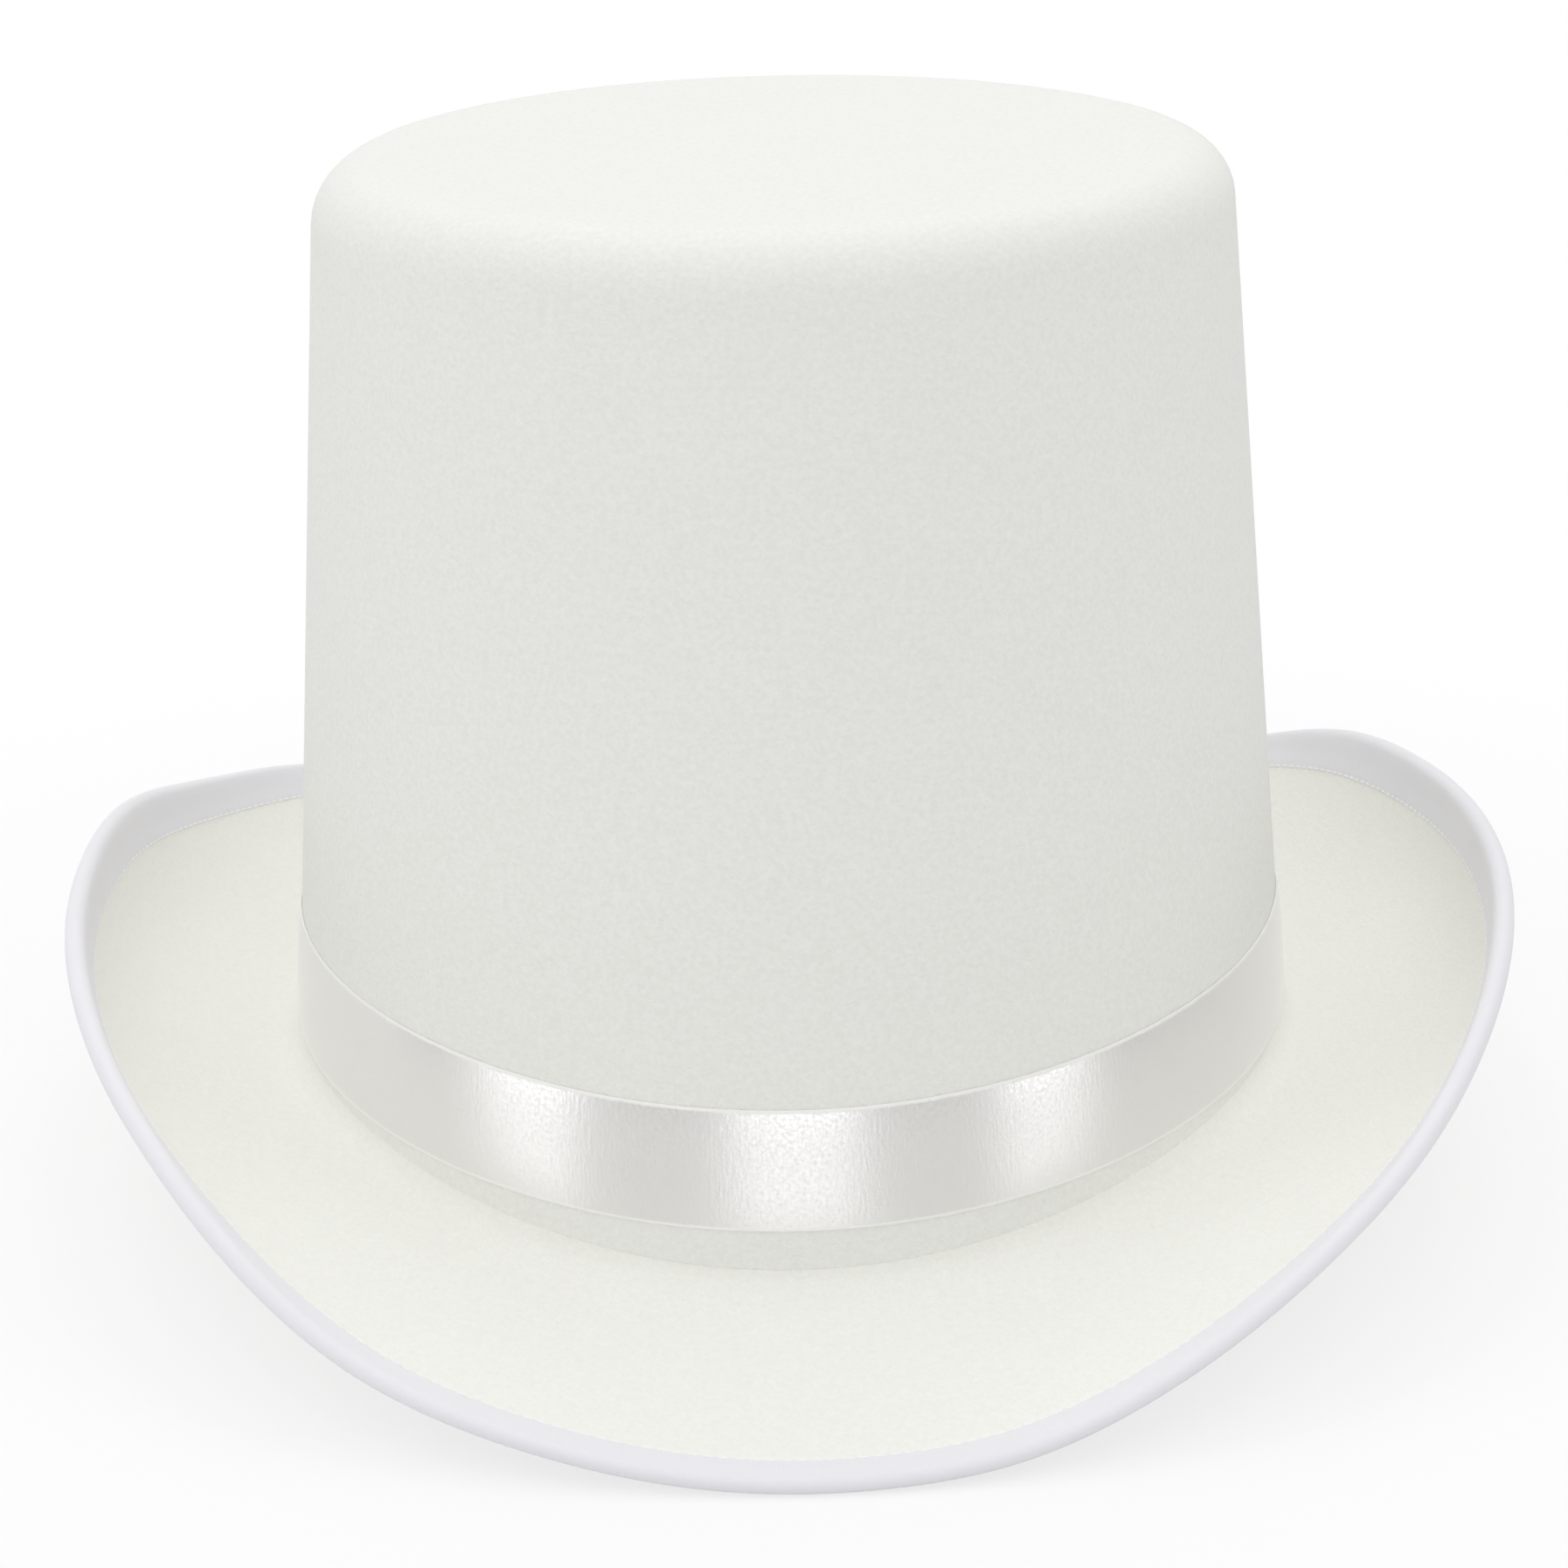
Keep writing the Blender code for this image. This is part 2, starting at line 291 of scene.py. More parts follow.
# %% Node and colour helpers
def fill(made, inputs):
    """Fills a node's inputs, which go by name, or by number where several share a name.

    Each takes a value or a link, and a node given as a value means its first output.
    """
    for name, value in inputs.items():
        if isinstance(value, bpy.types.Node):
            value = value.outputs[0]
        if isinstance(value, bpy.types.NodeSocket):
            made.id_data.links.new(value, made.inputs[name])
        else:
            made.inputs[name].default_value = value


def node(tree, kind, inputs=None, **settings):
    """Adds a node, sets its options and fills its inputs."""
    made = tree.nodes.new(kind)
    for name, value in settings.items():
        setattr(made, name, value)
    fill(made, inputs or {})
    return made


def colour(text):
    """An sRGB hex colour as linear red, green, blue and alpha."""
    parts = [int(text[i:i + 2], 16) / 255 for i in (1, 3, 5)]
    return (*[c / 12.92 if c <= 0.04045 else ((c + 0.055) / 1.055) ** 2.4 for c in parts], 1.0)


def new_finish(name):
    """An empty material, its node tree and its shader."""
    finish = bpy.data.materials.new(name)
    finish.use_nodes = True
    return finish, finish.node_tree, finish.node_tree.nodes["Principled BSDF"]


print("mid grey #808080 in linear values:", round(colour("#808080")[0], 3))

# %% [markdown]
# ### Pressed felt
# Felt is wool or polyester staple matted under heat, so it has no weave. What the eye sees is a short
# nap in clumps of about a millimetre, with fine fibre ends between them, and here and there a shallow
# wrinkle that runs round the crown from the blocking. The tip is ironed, so it is smoother. The nap could
# be grown as hair, but it is shorter than a pixel. So two noises make it as bump, a third one, drawn out
# sideways, makes the wrinkles, and a little sheen stands for the ends that catch light at the edges.

# %% Pressed felt
NAP_CLUMP = 0.95 * MM
NAP_HEIGHT = 0.30 * MM
# Real fibre ends are finer: these are drawn coarse enough to show
FIBRE_END = 0.45 * MM
FIBRE_HEIGHT = 0.22 * MM
WRINKLE_LENGTH = 7.0 * MM
WRINKLE_WIDTH = 1.6 * MM
WRINKLE_DEPTH = 0.20 * MM
SHADE_PATCH = 22.0 * MM
TIP_Z = join_z + CROWN_HEIGHT
IRONED_FROM = TIP_Z - 9 * MM
IRONED_TO = TIP_Z - MM
IRONED_NAP = 0.3


def pressed_felt(name, pale, deep, wrinkles):
    """Matt felt between two near whites, with wrinkles of a strength from 0 to 1."""
    finish, tree, shader = new_finish(name)
    place = node(tree, "ShaderNodeTexCoord").outputs["Object"]
    patches = node(tree, "ShaderNodeTexNoise", {
        "Vector": place, "Scale": 1 / SHADE_PATCH, "Detail": 3.0})
    clumps = node(tree, "ShaderNodeTexNoise", {"Vector": place, "Scale": 1 / NAP_CLUMP, "Detail": 2.0})
    ends = node(tree, "ShaderNodeTexNoise", {"Vector": place, "Scale": 1 / FIBRE_END, "Detail": 1.0})
    drawn = node(tree, "ShaderNodeMapping", {
        "Vector": place, "Scale": (1 / WRINKLE_LENGTH, 1 / WRINKLE_LENGTH, 1 / WRINKLE_WIDTH)})
    folds = node(tree, "ShaderNodeTexNoise", {
        "Vector": drawn, "Scale": 1.0, "Detail": 2.0, "Distortion": 0.6})
    mottle = node(tree, "ShaderNodeMix", {0: 0.9, 2: patches, 3: clumps})
    tone = node(tree, "ShaderNodeMapRange", {"Value": mottle, "From Min": 0.35, "From Max": 0.65})
    cloth = node(tree, "ShaderNodeMix", {0: tone, 6: colour(deep), 7: colour(pale)}, data_type="RGBA")
    height = node(tree, "ShaderNodeSeparateXYZ", {"Vector": place}).outputs["Z"]
    ironed = node(tree, "ShaderNodeMapRange", {
        "Value": height, "From Min": IRONED_FROM, "From Max": IRONED_TO,
        "To Min": 1.0, "To Max": IRONED_NAP})
    wrinkle = node(tree, "ShaderNodeMath", {0: ironed, 1: 0.5 * wrinkles}, operation="MULTIPLY")
    nap = node(tree, "ShaderNodeMath", {0: ironed, 1: 0.5}, operation="MULTIPLY")
    bump = node(tree, "ShaderNodeBump", {
        "Height": folds, "Strength": wrinkle, "Distance": WRINKLE_DEPTH})
    bump = node(tree, "ShaderNodeBump", {
        "Height": clumps, "Strength": nap, "Distance": NAP_HEIGHT, "Normal": bump})
    bump = node(tree, "ShaderNodeBump", {
        "Height": ends, "Strength": nap, "Distance": FIBRE_HEIGHT, "Normal": bump})
    fill(shader, {
        "Base Color": cloth.outputs[2], "Normal": bump, "Roughness": 0.95, "Specular IOR Level": 0.15,
        "Sheen Weight": 0.12, "Sheen Roughness": 0.6})
    return finish


crown_felt = pressed_felt("white_pressed_felt", "#f2f2ee", "#eeeee9", 0.8)
# The brim's copy of the felt is painted paler than the crown's: painted light on the upward-facing brim.
brim_felt = pressed_felt("pressed_felt_painted_paler", "#f7f7f2", "#f4f4ee", 0.25)
print("felt:", crown_felt.name, "and", brim_felt.name)

# %% [markdown]
# ### Satin ribbon
# In satin the long threads float over the cross threads, and they all run along the ribbon. Light that
# hits a bundle of such threads fans out across them and stays narrow along them, so each lamp shows as
# a bright upright block. That is anisotropy: a tangent along the ribbon from its UV map, turned a
# quarter so that the highlight spreads across it. Short bars across the ribbon make it uneven, and small
# glints shine more than the cloth between them, because there the threads lie flatter. The woven edges
# are plain weave, so a ragged band along each edge is matt. That band is also painted paler: a painted
# highlight where the thick edge threads catch the light.

# %% Satin ribbon
RIBBON_WIDTH = 0.0195
SELVAGE = 0.5 * MM
# Real satin threads lie about 0.1 mm apart: bars and glints are drawn coarse enough to show
BAR_PITCH = 0.55 * MM
BAR_LENGTH = 2.5 * MM
BAR_HEIGHT = 0.05 * MM
GLINT = 0.6 * MM
GLINT_HEIGHT = 0.04 * MM


def satin():
    """White satin that throws light back in upright blocks, with sparkle in them."""
    finish, tree, shader = new_finish("white_polyester_satin")
    place = node(tree, "ShaderNodeUVMap", uv_map="cloth").outputs["UV"]
    across = node(tree, "ShaderNodeSeparateXYZ", {"Vector": place}).outputs["Y"]
    from_middle = node(tree, "ShaderNodeMath", {0: across, 1: RIBBON_WIDTH / 2}, operation="SUBTRACT")
    from_middle = node(tree, "ShaderNodeMath", {0: from_middle}, operation="ABSOLUTE")
    drawn = node(tree, "ShaderNodeMapping", {
        "Vector": place, "Scale": (1 / BAR_PITCH, 1 / BAR_LENGTH, 1.0)})
    bars = node(tree, "ShaderNodeTexNoise", {"Vector": drawn, "Scale": 1.0, "Detail": 2.0})
    ragged = node(tree, "ShaderNodeMath", {
        0: bars, 1: SELVAGE, 2: from_middle}, operation="MULTIPLY_ADD")
    edge = node(tree, "ShaderNodeMapRange", {
        "Value": ragged, "From Min": RIBBON_WIDTH / 2 - 0.6 * SELVAGE,
        "From Max": RIBBON_WIDTH / 2 - 0.1 * SELVAGE})
    glints = node(tree, "ShaderNodeTexNoise", {"Vector": place, "Scale": 1 / GLINT, "Detail": 2.0})
    tone = node(tree, "ShaderNodeMix", {
        0: glints, 6: colour("#ecebe8"), 7: colour("#f2f1ef")}, data_type="RGBA")
    # The edge band is matt, and its paler colour is a painted highlight where the thick edge threads catch
    # light.
    cloth = node(tree, "ShaderNodeMix", {
        0: edge, 6: tone.outputs[2], 7: colour("#fafaf7")}, data_type="RGBA")
    gloss = node(tree, "ShaderNodeMapRange", {
        "Value": glints, "From Min": 0.3, "From Max": 0.7, "To Min": 0.42, "To Max": 0.32})
    rough = node(tree, "ShaderNodeMix", {0: edge, 2: gloss, 3: 0.8})
    bump = node(tree, "ShaderNodeBump", {"Height": bars, "Strength": 0.6, "Distance": BAR_HEIGHT})
    bump = node(tree, "ShaderNodeBump", {
        "Height": glints, "Strength": 0.5, "Distance": GLINT_HEIGHT, "Normal": bump})
    floats = node(tree, "ShaderNodeMapRange", {
        "Value": glints, "From Min": 0.35, "From Max": 0.65, "To Min": 0.14, "To Max": 0.46})
    shine = node(tree, "ShaderNodeMix", {0: edge, 2: floats, 3: 0.0})
    along = node(tree, "ShaderNodeTangent", direction_type="UV_MAP", uv_map="cloth")
    fill(shader, {
        "Base Color": cloth.outputs[2], "Roughness": rough, "Normal": bump, "Metallic": shine,
        "Tangent": along, "Anisotropic": 0.95, "Anisotropic Rotation": 0.25,
        "Specular IOR Level": 0.5, "Sheen Weight": 0.6, "Sheen Roughness": 0.3})
    return finish


ribbon_satin = satin()
print("satin:", ribbon_satin.name)

# %% [markdown]
# ### Woven tapes
# The binding is a smooth bias tape, cool white, whose fine ribs cross it. The sweatband is cotton twill,
# known by its slanting ridges. Both could be woven thread by thread, but the threads are finer than a
# pixel. So both are drawn from the UV map, as a wave whose bands run across the tape or slantwise.

# %% Woven tapes
TAPE_RIB = 0.4 * MM
TWILL_RIDGE = 0.9 * MM
TWILL_SLANT = math.radians(50)
# A wave texture of scale 1 repeats at this length
WAVE_PERIOD = math.pi / 10


def woven_tape(name, pale, deep, ridge, slant, roughness, depth):
    """Tape with a dull shine, whose ridges lie a given distance apart and at a slant to its length."""
    finish, tree, shader = new_finish(name)
    place = node(tree, "ShaderNodeUVMap", uv_map="cloth").outputs["UV"]
    turned = node(tree, "ShaderNodeMapping", {"Vector": place, "Rotation": (0.0, 0.0, slant)})
    ridges = node(tree, "ShaderNodeTexWave", {
        "Vector": turned, "Scale": WAVE_PERIOD / ridge, "Distortion": 0.4,
        "Detail Scale": 1.5}, wave_type="BANDS", bands_direction="X")
    yarn = node(tree, "ShaderNodeTexNoise", {"Vector": place, "Scale": 1 / ridge, "Detail": 3.0})
    height = node(tree, "ShaderNodeMix", {0: 0.4, 2: ridges.outputs["Fac"], 3: yarn})
    tone = node(tree, "ShaderNodeMix", {0: height, 6: colour(deep), 7: colour(pale)}, data_type="RGBA")
    bump = node(tree, "ShaderNodeBump", {"Height": height, "Strength": 0.6, "Distance": depth})
    fill(shader, {
        "Base Color": tone.outputs[2], "Normal": bump, "Roughness": roughness,
        "Specular IOR Level": 0.35, "Sheen Weight": 0.15})
    return finish


binding_tape = woven_tape(
    "cool_white_bias_tape", "#efeef2", "#ecebf0", TAPE_RIB, slant=0.0, roughness=0.6, depth=0.02 * MM)
sweat_twill = woven_tape(
    "cotton_twill", "#efeee8", "#e2e0d8", TWILL_RIDGE, slant=TWILL_SLANT, roughness=0.85, depth=0.15 * MM)
print("tapes:", binding_tape.name, "and", sweat_twill.name)

# %% [markdown]
# ### Thread and metal
# The thread is spun from short staple, so it is uneven. Its colour is a little brighter than the tape's,
# partly the thread's own white and partly a painted highlight where it catches the light. The wire is
# spring steel and its sleeve is brass, both drawn through a die. They are hidden in the tape's fold, so
# one plain metal function with faint marks from the die does for both.

# %% Thread, steel and brass
THREAD_SLUB = 0.4 * MM
DIE_MARK = 0.3 * MM


def spun_thread():
    """White thread with small thick places, which break its shine up."""
    finish, tree, shader = new_finish("white_spun_thread")
    place = node(tree, "ShaderNodeTexCoord").outputs["Object"]
    slubs = node(tree, "ShaderNodeTexNoise", {"Vector": place, "Scale": 1 / THREAD_SLUB, "Detail": 2.0})
    # Brighter than the tape: partly the thread's own white, partly a painted highlight where it catches
    # light.
    tone = node(tree, "ShaderNodeMix", {
        0: slubs, 6: colour("#f6f6f7"), 7: colour("#fdfdfd")}, data_type="RGBA")
    bump = node(tree, "ShaderNodeBump", {"Height": slubs, "Strength": 0.4, "Distance": 0.05 * MM})
    fill(shader, {"Base Color": tone.outputs[2], "Normal": bump, "Roughness": 0.5})
    return finish


def drawn_metal(name, pale, deep, roughness):
    """Bright metal pulled through a die, with faint marks from it."""
    finish, tree, shader = new_finish(name)
    place = node(tree, "ShaderNodeTexCoord").outputs["Object"]
    marks = node(tree, "ShaderNodeTexNoise", {"Vector": place, "Scale": 1 / DIE_MARK, "Detail": 3.0})
    tone = node(tree, "ShaderNodeMix", {0: marks, 6: colour(deep), 7: colour(pale)}, data_type="RGBA")
    bump = node(tree, "ShaderNodeBump", {"Height": marks, "Strength": 0.2, "Distance": 0.01 * MM})
    fill(shader, {
        "Base Color": tone.outputs[2], "Normal": bump, "Roughness": roughness, "Metallic": 1.0})
    return finish


thread = spun_thread()
spring_steel = drawn_metal("spring_steel", "#c9cacc", "#b4b5b8", 0.35)
sleeve_brass = drawn_metal("drawn_brass", "#dcb877", "#c9a15c", 0.3)
print("thread and metals:", thread.name, spring_steel.name, sleeve_brass.name)

# %% [markdown]
# ## The crown
# The side wall and the flat tip are one piece of felt, pulled over a block. Its shape follows a rule,
# so Geometry Nodes make it: a plain cone node with equal radii gives a wall and a tip with rings of
# points, and Set Position moves each ring to the block's oval at its height. The outer rings of the tip
# become the rounded edge, which is a little tighter on the right than on the left. The foot follows the
# line where the brim rises at the sides. Solidify then gives the felt its thickness. A lathe could not
# do this, because the block is oval and its foot is not level.

# %% The crown's node tree
CROWN_STATIONS = 320
WALL_RINGS = 60
TIP_RINGS = 30
# The share of the tip's rings that make the rounded edge
EDGE_SHARE = 0.3


def crown_tree():
    """A blocked crown: named sizes in, a skin of its outside out."""
    tree = bpy.data.node_groups.new("blocked_crown", "GeometryNodeTree")
    tree.interface.new_socket("Geometry", in_out="OUTPUT", socket_type="NodeSocketGeometry")
    sizes = ["Foot Half Width", "Foot Half Length", "Tip Half Width", "Tip Half Length", "Height",
             "Join Height", "Join Rise", "Foot Lift", "Edge Radius", "Edge Gain Right"]
    for name in sizes:
        tree.interface.new_socket(name, in_out="INPUT", socket_type="NodeSocketFloat")
    tree.interface.new_socket("Felt", in_out="INPUT", socket_type="NodeSocketMaterial")
    size = node(tree, "NodeGroupInput").outputs

    block = node(tree, "GeometryNodeMeshCone", {
        "Vertices": CROWN_STATIONS, "Side Segments": WALL_RINGS, "Fill Segments": TIP_RINGS,
        "Radius Top": 1.0, "Radius Bottom": 1.0, "Depth": 1.0}, fill_type="TRIANGLE_FAN")
    open_block = node(tree, "GeometryNodeDeleteGeometry", {
        "Geometry": block.outputs["Mesh"], "Selection": block.outputs["Bottom"]}, domain="FACE")
    here = node(tree, "GeometryNodeInputPosition")
    level = node(tree, "ShaderNodeVectorMath", {0: here, 1: (1.0, 1.0, 0.0)}, operation="MULTIPLY")
    ring = node(tree, "ShaderNodeVectorMath", {0: level}, operation="LENGTH").outputs["Value"]
    direction = node(tree, "ShaderNodeVectorMath", {0: level}, operation="NORMALIZE")
    side, front, _ = node(tree, "ShaderNodeSeparateXYZ", {"Vector": direction}).outputs
    up = node(tree, "ShaderNodeSeparateXYZ", {"Vector": here}).outputs["Z"]

    # The share of the side roll, written with the direction's own parts
    across = node(tree, "ShaderNodeMath", {0: side, 1: side}, operation="MULTIPLY")
    ahead = node(tree, "ShaderNodeMath", {0: front, 1: front}, operation="MULTIPLY")
    spread = node(tree, "ShaderNodeMath", {
        0: ahead, 1: 4 * ROLL_SPREAD, 2: 1.0}, operation="MULTIPLY_ADD")
    share = node(tree, "ShaderNodeMath", {0: across, 1: spread}, operation="MULTIPLY")
    foot = node(tree, "ShaderNodeMath", {
        0: share, 1: size["Join Rise"], 2: size["Foot Lift"]}, operation="MULTIPLY_ADD")

    # The wall rises to the rounded edge, and the outer rings of the tip turn through a quarter circle
    radius = node(tree, "ShaderNodeMath", {
        0: side, 1: size["Edge Gain Right"], 2: size["Edge Radius"]}, operation="MULTIPLY_ADD")
    wall_top = node(tree, "ShaderNodeMath", {0: size["Height"], 1: radius}, operation="SUBTRACT")
    bend = node(tree, "ShaderNodeMapRange", {
        "Value": ring, "From Min": 1.0, "From Max": 1.0 - EDGE_SHARE, "To Max": math.pi / 2})
    inward = node(tree, "ShaderNodeMath", {0: bend}, operation="COSINE")
    inward = node(tree, "ShaderNodeMath", {0: 1.0, 1: inward}, operation="SUBTRACT")
    setback = node(tree, "ShaderNodeMath", {0: radius, 1: inward}, operation="MULTIPLY")
    rise = node(tree, "ShaderNodeMath", {0: wall_top, 1: foot}, operation="SUBTRACT")
    climb = node(tree, "ShaderNodeMath", {0: up, 1: rise, 2: foot}, operation="MULTIPLY_ADD")
    upward = node(tree, "ShaderNodeMath", {0: bend}, operation="SINE")
    height = node(tree, "ShaderNodeMath", {0: radius, 1: upward, 2: climb}, operation="MULTIPLY_ADD")

    # The oval at that height, drawn in by the rounded edge, then shrunk to the middle of the tip
    foot_axes = node(tree, "ShaderNodeCombineXYZ", {
        "X": size["Foot Half Width"], "Y": size["Foot Half Length"]})
    tip_axes = node(tree, "ShaderNodeCombineXYZ", {
        "X": size["Tip Half Width"], "Y": size["Tip Half Length"]})
    climbed = node(tree, "ShaderNodeMath", {0: height, 1: size["Height"]}, operation="DIVIDE")
    axes = node(tree, "ShaderNodeMix", {0: climbed, 4: foot_axes, 5: tip_axes}, data_type="VECTOR")
    axes = node(tree, "ShaderNodeVectorMath", {0: axes.outputs[1], 1: setback}, operation="SUBTRACT")
    flat = node(tree, "ShaderNodeMapRange", {"Value": ring, "From Max": 1.0 - EDGE_SHARE})
    spot = node(tree, "ShaderNodeVectorMath", {0: direction, 1: axes}, operation="MULTIPLY")
    spot = node(tree, "ShaderNodeVectorMath", {0: spot, "Scale": flat}, operation="SCALE")
    level = node(tree, "ShaderNodeVectorMath", {0: spot, 1: (1.0, 1.0, 0.0)}, operation="MULTIPLY")
    high = node(tree, "ShaderNodeMath", {0: height, 1: size["Join Height"]}, operation="ADD")
    lift = node(tree, "ShaderNodeCombineXYZ", {"Z": high})
    spot = node(tree, "ShaderNodeVectorMath", {0: level, 1: lift}, operation="ADD")

    blocked = node(tree, "GeometryNodeSetPosition", {"Geometry": open_block, "Position": spot})
    whole = node(tree, "GeometryNodeRealizeInstances", {"Geometry": blocked})
    felted = node(tree, "GeometryNodeSetMaterial", {"Geometry": whole, "Material": size["Felt"]})
    node(tree, "NodeGroupOutput", {"Geometry": felted})
    return tree


crown_nodes = crown_tree()
print(f"the crown's tree has {len(crown_nodes.nodes)} nodes")

# %% Block the crown
EDGE_RADIUS = 9.3 * MM
EDGE_TIGHTER_RIGHT = 0.9 * MM
# The crease where the brim leaves the crown, which the crown's foot clears
CREASE_RADIUS = 0.001
CREASE_WIDER_AT_SIDES = 0.003
FOOT_CLEARANCE = 0.03 * MM


def run_tree(piece, tree, values):
    """Adds a tree to an object as a modifier and sets its inputs by their identifiers."""
    modifier = piece.modifiers.new(tree.name, "NODES")
    modifier.node_group = tree
    for item in tree.interface.items_tree:
        if item.in_out == "INPUT" and item.name in values:
            modifier[item.identifier] = values[item.name]


crown = new_object("felt_crown", bpy.data.meshes.new("felt_crown"))
run_tree(crown, crown_nodes, {
    "Foot Half Width": FOOT_HALF_WIDTH, "Foot Half Length": FOOT_HALF_LENGTH,
    "Tip Half Width": TIP_HALF_WIDTH, "Tip Half Length": TIP_HALF_LENGTH, "Height": CROWN_HEIGHT,
    "Join Height": join_z, "Join Rise": JOIN_RISE + CREASE_WIDER_AT_SIDES,
    "Foot Lift": CREASE_RADIUS + FOOT_CLEARANCE,
    "Edge Radius": EDGE_RADIUS, "Edge Gain Right": -EDGE_TIGHTER_RIGHT, "Felt": crown_felt})
add_wall(crown, FELT, -1)
plain(crown)
seat(crown, "crown")

# %% [markdown]
# ## The brim
# The brim is a second piece of felt. It dips at the front and back and rolls up at the sides, like a
# saddle, and its inner edge turns up as a collar inside the crown, where the sweatband is sewn to it.
# Its upper face is one skin: rows of points that run down the collar, over the ledge under the crown,
# round the crease and out to the edge. A subdivided cage would lose the crease, so the rows are placed
# by the rule.

# %% Shape the brim
BRIM_STATIONS = 360
COLLAR_ROWS = 8
CREASE_ROWS = 8
FACE_ROWS = 36
COLLAR_HEIGHT = 0.014
COLLAR_SETBACK = FELT + 0.3 * MM
COLLAR_BEND = 0.4 * MM
LEDGE_MIDDLE = 0.8 * MM

angles = np.arange(BRIM_STATIONS) * 2 * math.pi / BRIM_STATIONS
rise = JOIN_RISE * roll_share(angles)
crease = CREASE_RADIUS + CREASE_WIDER_AT_SIDES * roll_share(angles)
turns = steps(math.pi / 2, 0.0, CREASE_ROWS)
collar_foot = crease + COLLAR_BEND
collar_rows = []
for share in steps(1.0, 0.0, COLLAR_ROWS):
    height = rise + collar_foot + (COLLAR_HEIGHT - collar_foot) * share
    collar_rows.append(wall_point(height, -COLLAR_SETBACK, angles))
ledge = (COLLAR_SETBACK - COLLAR_BEND, LEDGE_MIDDLE)
ledge_rows = [wall_point(rise, -inside, angles) for inside in ledge]
crease_rows = [brim_face(crease * (1 - math.sin(turn)), angles) for turn in turns]
face_runs = [crease + (BRIM_WIDTH - crease) * share for share in steps(0.0, 1.0, FACE_ROWS)[1:]]
face_rows = [brim_face(run, angles) for run in face_runs]
grid = np.stack(collar_rows + ledge_rows + crease_rows + face_rows, axis=1)
brim = new_object("felt_brim", skin("felt_brim", grid, closed=True))
add_wall(brim, FELT, 1)
plain(brim)
print(f"the crease is {crease.min() / MM:.1f} mm at the front and {crease.max() / MM:.1f} mm at the sides")

# %% [markdown]
# Thick felt can't turn a sharp corner, so the crease under the crown is a small quarter round, fuller at
# the sides, where the brim rolls. Rounding the skin before Solidify would move the underside too, so only
# the points of the upper face are lifted, after it. They come last in the thickened mesh.

# %% Round the crease
lifts = [crease, crease] + [crease * (1 - math.cos(turn)) for turn in turns]
for row, lift in enumerate(lifts, start=len(collar_rows)):
    grid[:, row] += wall_point(rise + lift, 0.0, angles) - wall_point(rise, 0.0, angles)
points = np.empty(3 * len(brim.data.vertices), dtype=np.float32)
brim.data.vertices.foreach_get("co", points)
points[-grid.size:] = grid.ravel()
brim.data.vertices.foreach_set("co", points)
brim.data.update()
seat(brim, "brim", brim_felt)

# %% [markdown]
# ## The edge binding
# A tape is folded over the edge of the brim and sewn through. Its two legs lie on the felt, wide at the
# sides and narrow at the front and back, and its fold stands a little proud, because the wire lies in it.
# A strip of points goes round the edge once and laps over its own start at the back, so the lap shows as
# on a real hat. The stitches pull the tape's edge into the felt, and between them it lifts slightly,
# which gives the small puckers of a sewn edge. A cloth simulation would not keep the fold this even.

# %% Fold the tape over the edge
TAPE_LEG = 6.0 * MM
LEG_LESS_AT_FRONT = 2.7 * MM
TAPE = 0.35 * MM
TAPE_LAP = 0.012
LAP_CLIMB = 0.004
LAP_CLEARANCE = 0.05 * MM
FOLD_RADIUS = 1.05 * MM
FOLD_FULLER_AT_SIDES = 0.4 * MM
STITCH_INSET = 0.15 * MM
STITCH_PITCH = 2.3 * MM
PUCKER = 0.06 * MM
TAPE_STATIONS = 1720
# Steps round the hat when a length is measured
ROUND_STEPS = 720


def tape_leg(angle):
    """The leg of the tape, which is narrower at the front and back."""
    return TAPE_LEG - LEG_LESS_AT_FRONT * (1.0 - roll_share(angle))


def fold_radius(angle):
    """The radius of the fold, which is fuller at the sides."""
    return FOLD_RADIUS + FOLD_FULLER_AT_SIDES * roll_share(angle)


def wire_run(angle):
    """How far out the wire lies, in the middle of the fold."""
    return BRIM_WIDTH + fold_radius(angle)


def stitch_run(angle):
    """How far out the stitches lie, on the tape and close to its inner edge."""
    return BRIM_WIDTH - tape_leg(angle) + STITCH_INSET


rim_angles = steps(0.0, 2 * math.pi, ROUND_STEPS)
rim_length = lengths(brim_face(stitch_run(rim_angles), rim_angles))
around = np.linspace(0.0, rim_length[-1] + TAPE_LAP, TAPE_STATIONS)
start = np.interp(math.pi, rim_angles, rim_length)
tape_angles = np.interp((start + around) % rim_length[-1], rim_length, rim_angles)
lapped = np.clip((around - rim_length[-1] + LAP_CLIMB) / LAP_CLIMB, 0.0, 1.0)
pucker = PUCKER * (0.5 - 0.5 * np.cos(2 * math.pi * around / STITCH_PITCH))
print(f"the seam is {rim_length[-1] / MM:.0f} mm round, the leg {tape_leg(0.0) / MM:.1f} mm at the front")

# %% Rows across the tape
FOLD_ROWS = 10

# From the sewn edge of a leg to its fold: how far along the leg, how high above the middle of the felt,
# and how much of the pucker it has
half = FELT / 2
leg = tape_leg(tape_angles)
round_of = fold_radius(tape_angles)
leg_rows = [
    (0.0, half - 0.29 * MM, 0.3),
    (0.07, half - 0.11 * MM, 0.5),
    (0.2, half - 0.02 * MM, 1.0),
    (0.45, half + 0.03 * MM, 0.0),
    (0.75, half + 0.4 * (round_of - half), 0.0),
    (1.0, round_of, 0.0),
]
upper = [(BRIM_WIDTH - leg + share * leg, off, lift) for share, off, lift in leg_rows]
fold = [(BRIM_WIDTH + round_of * (1 + math.cos(turn)), round_of * math.sin(turn), 0.0)
        for turn in steps(math.pi / 2, -math.pi / 2, FOLD_ROWS)]
lower = [(run, -off, -lift) for run, off, lift in reversed(upper)]

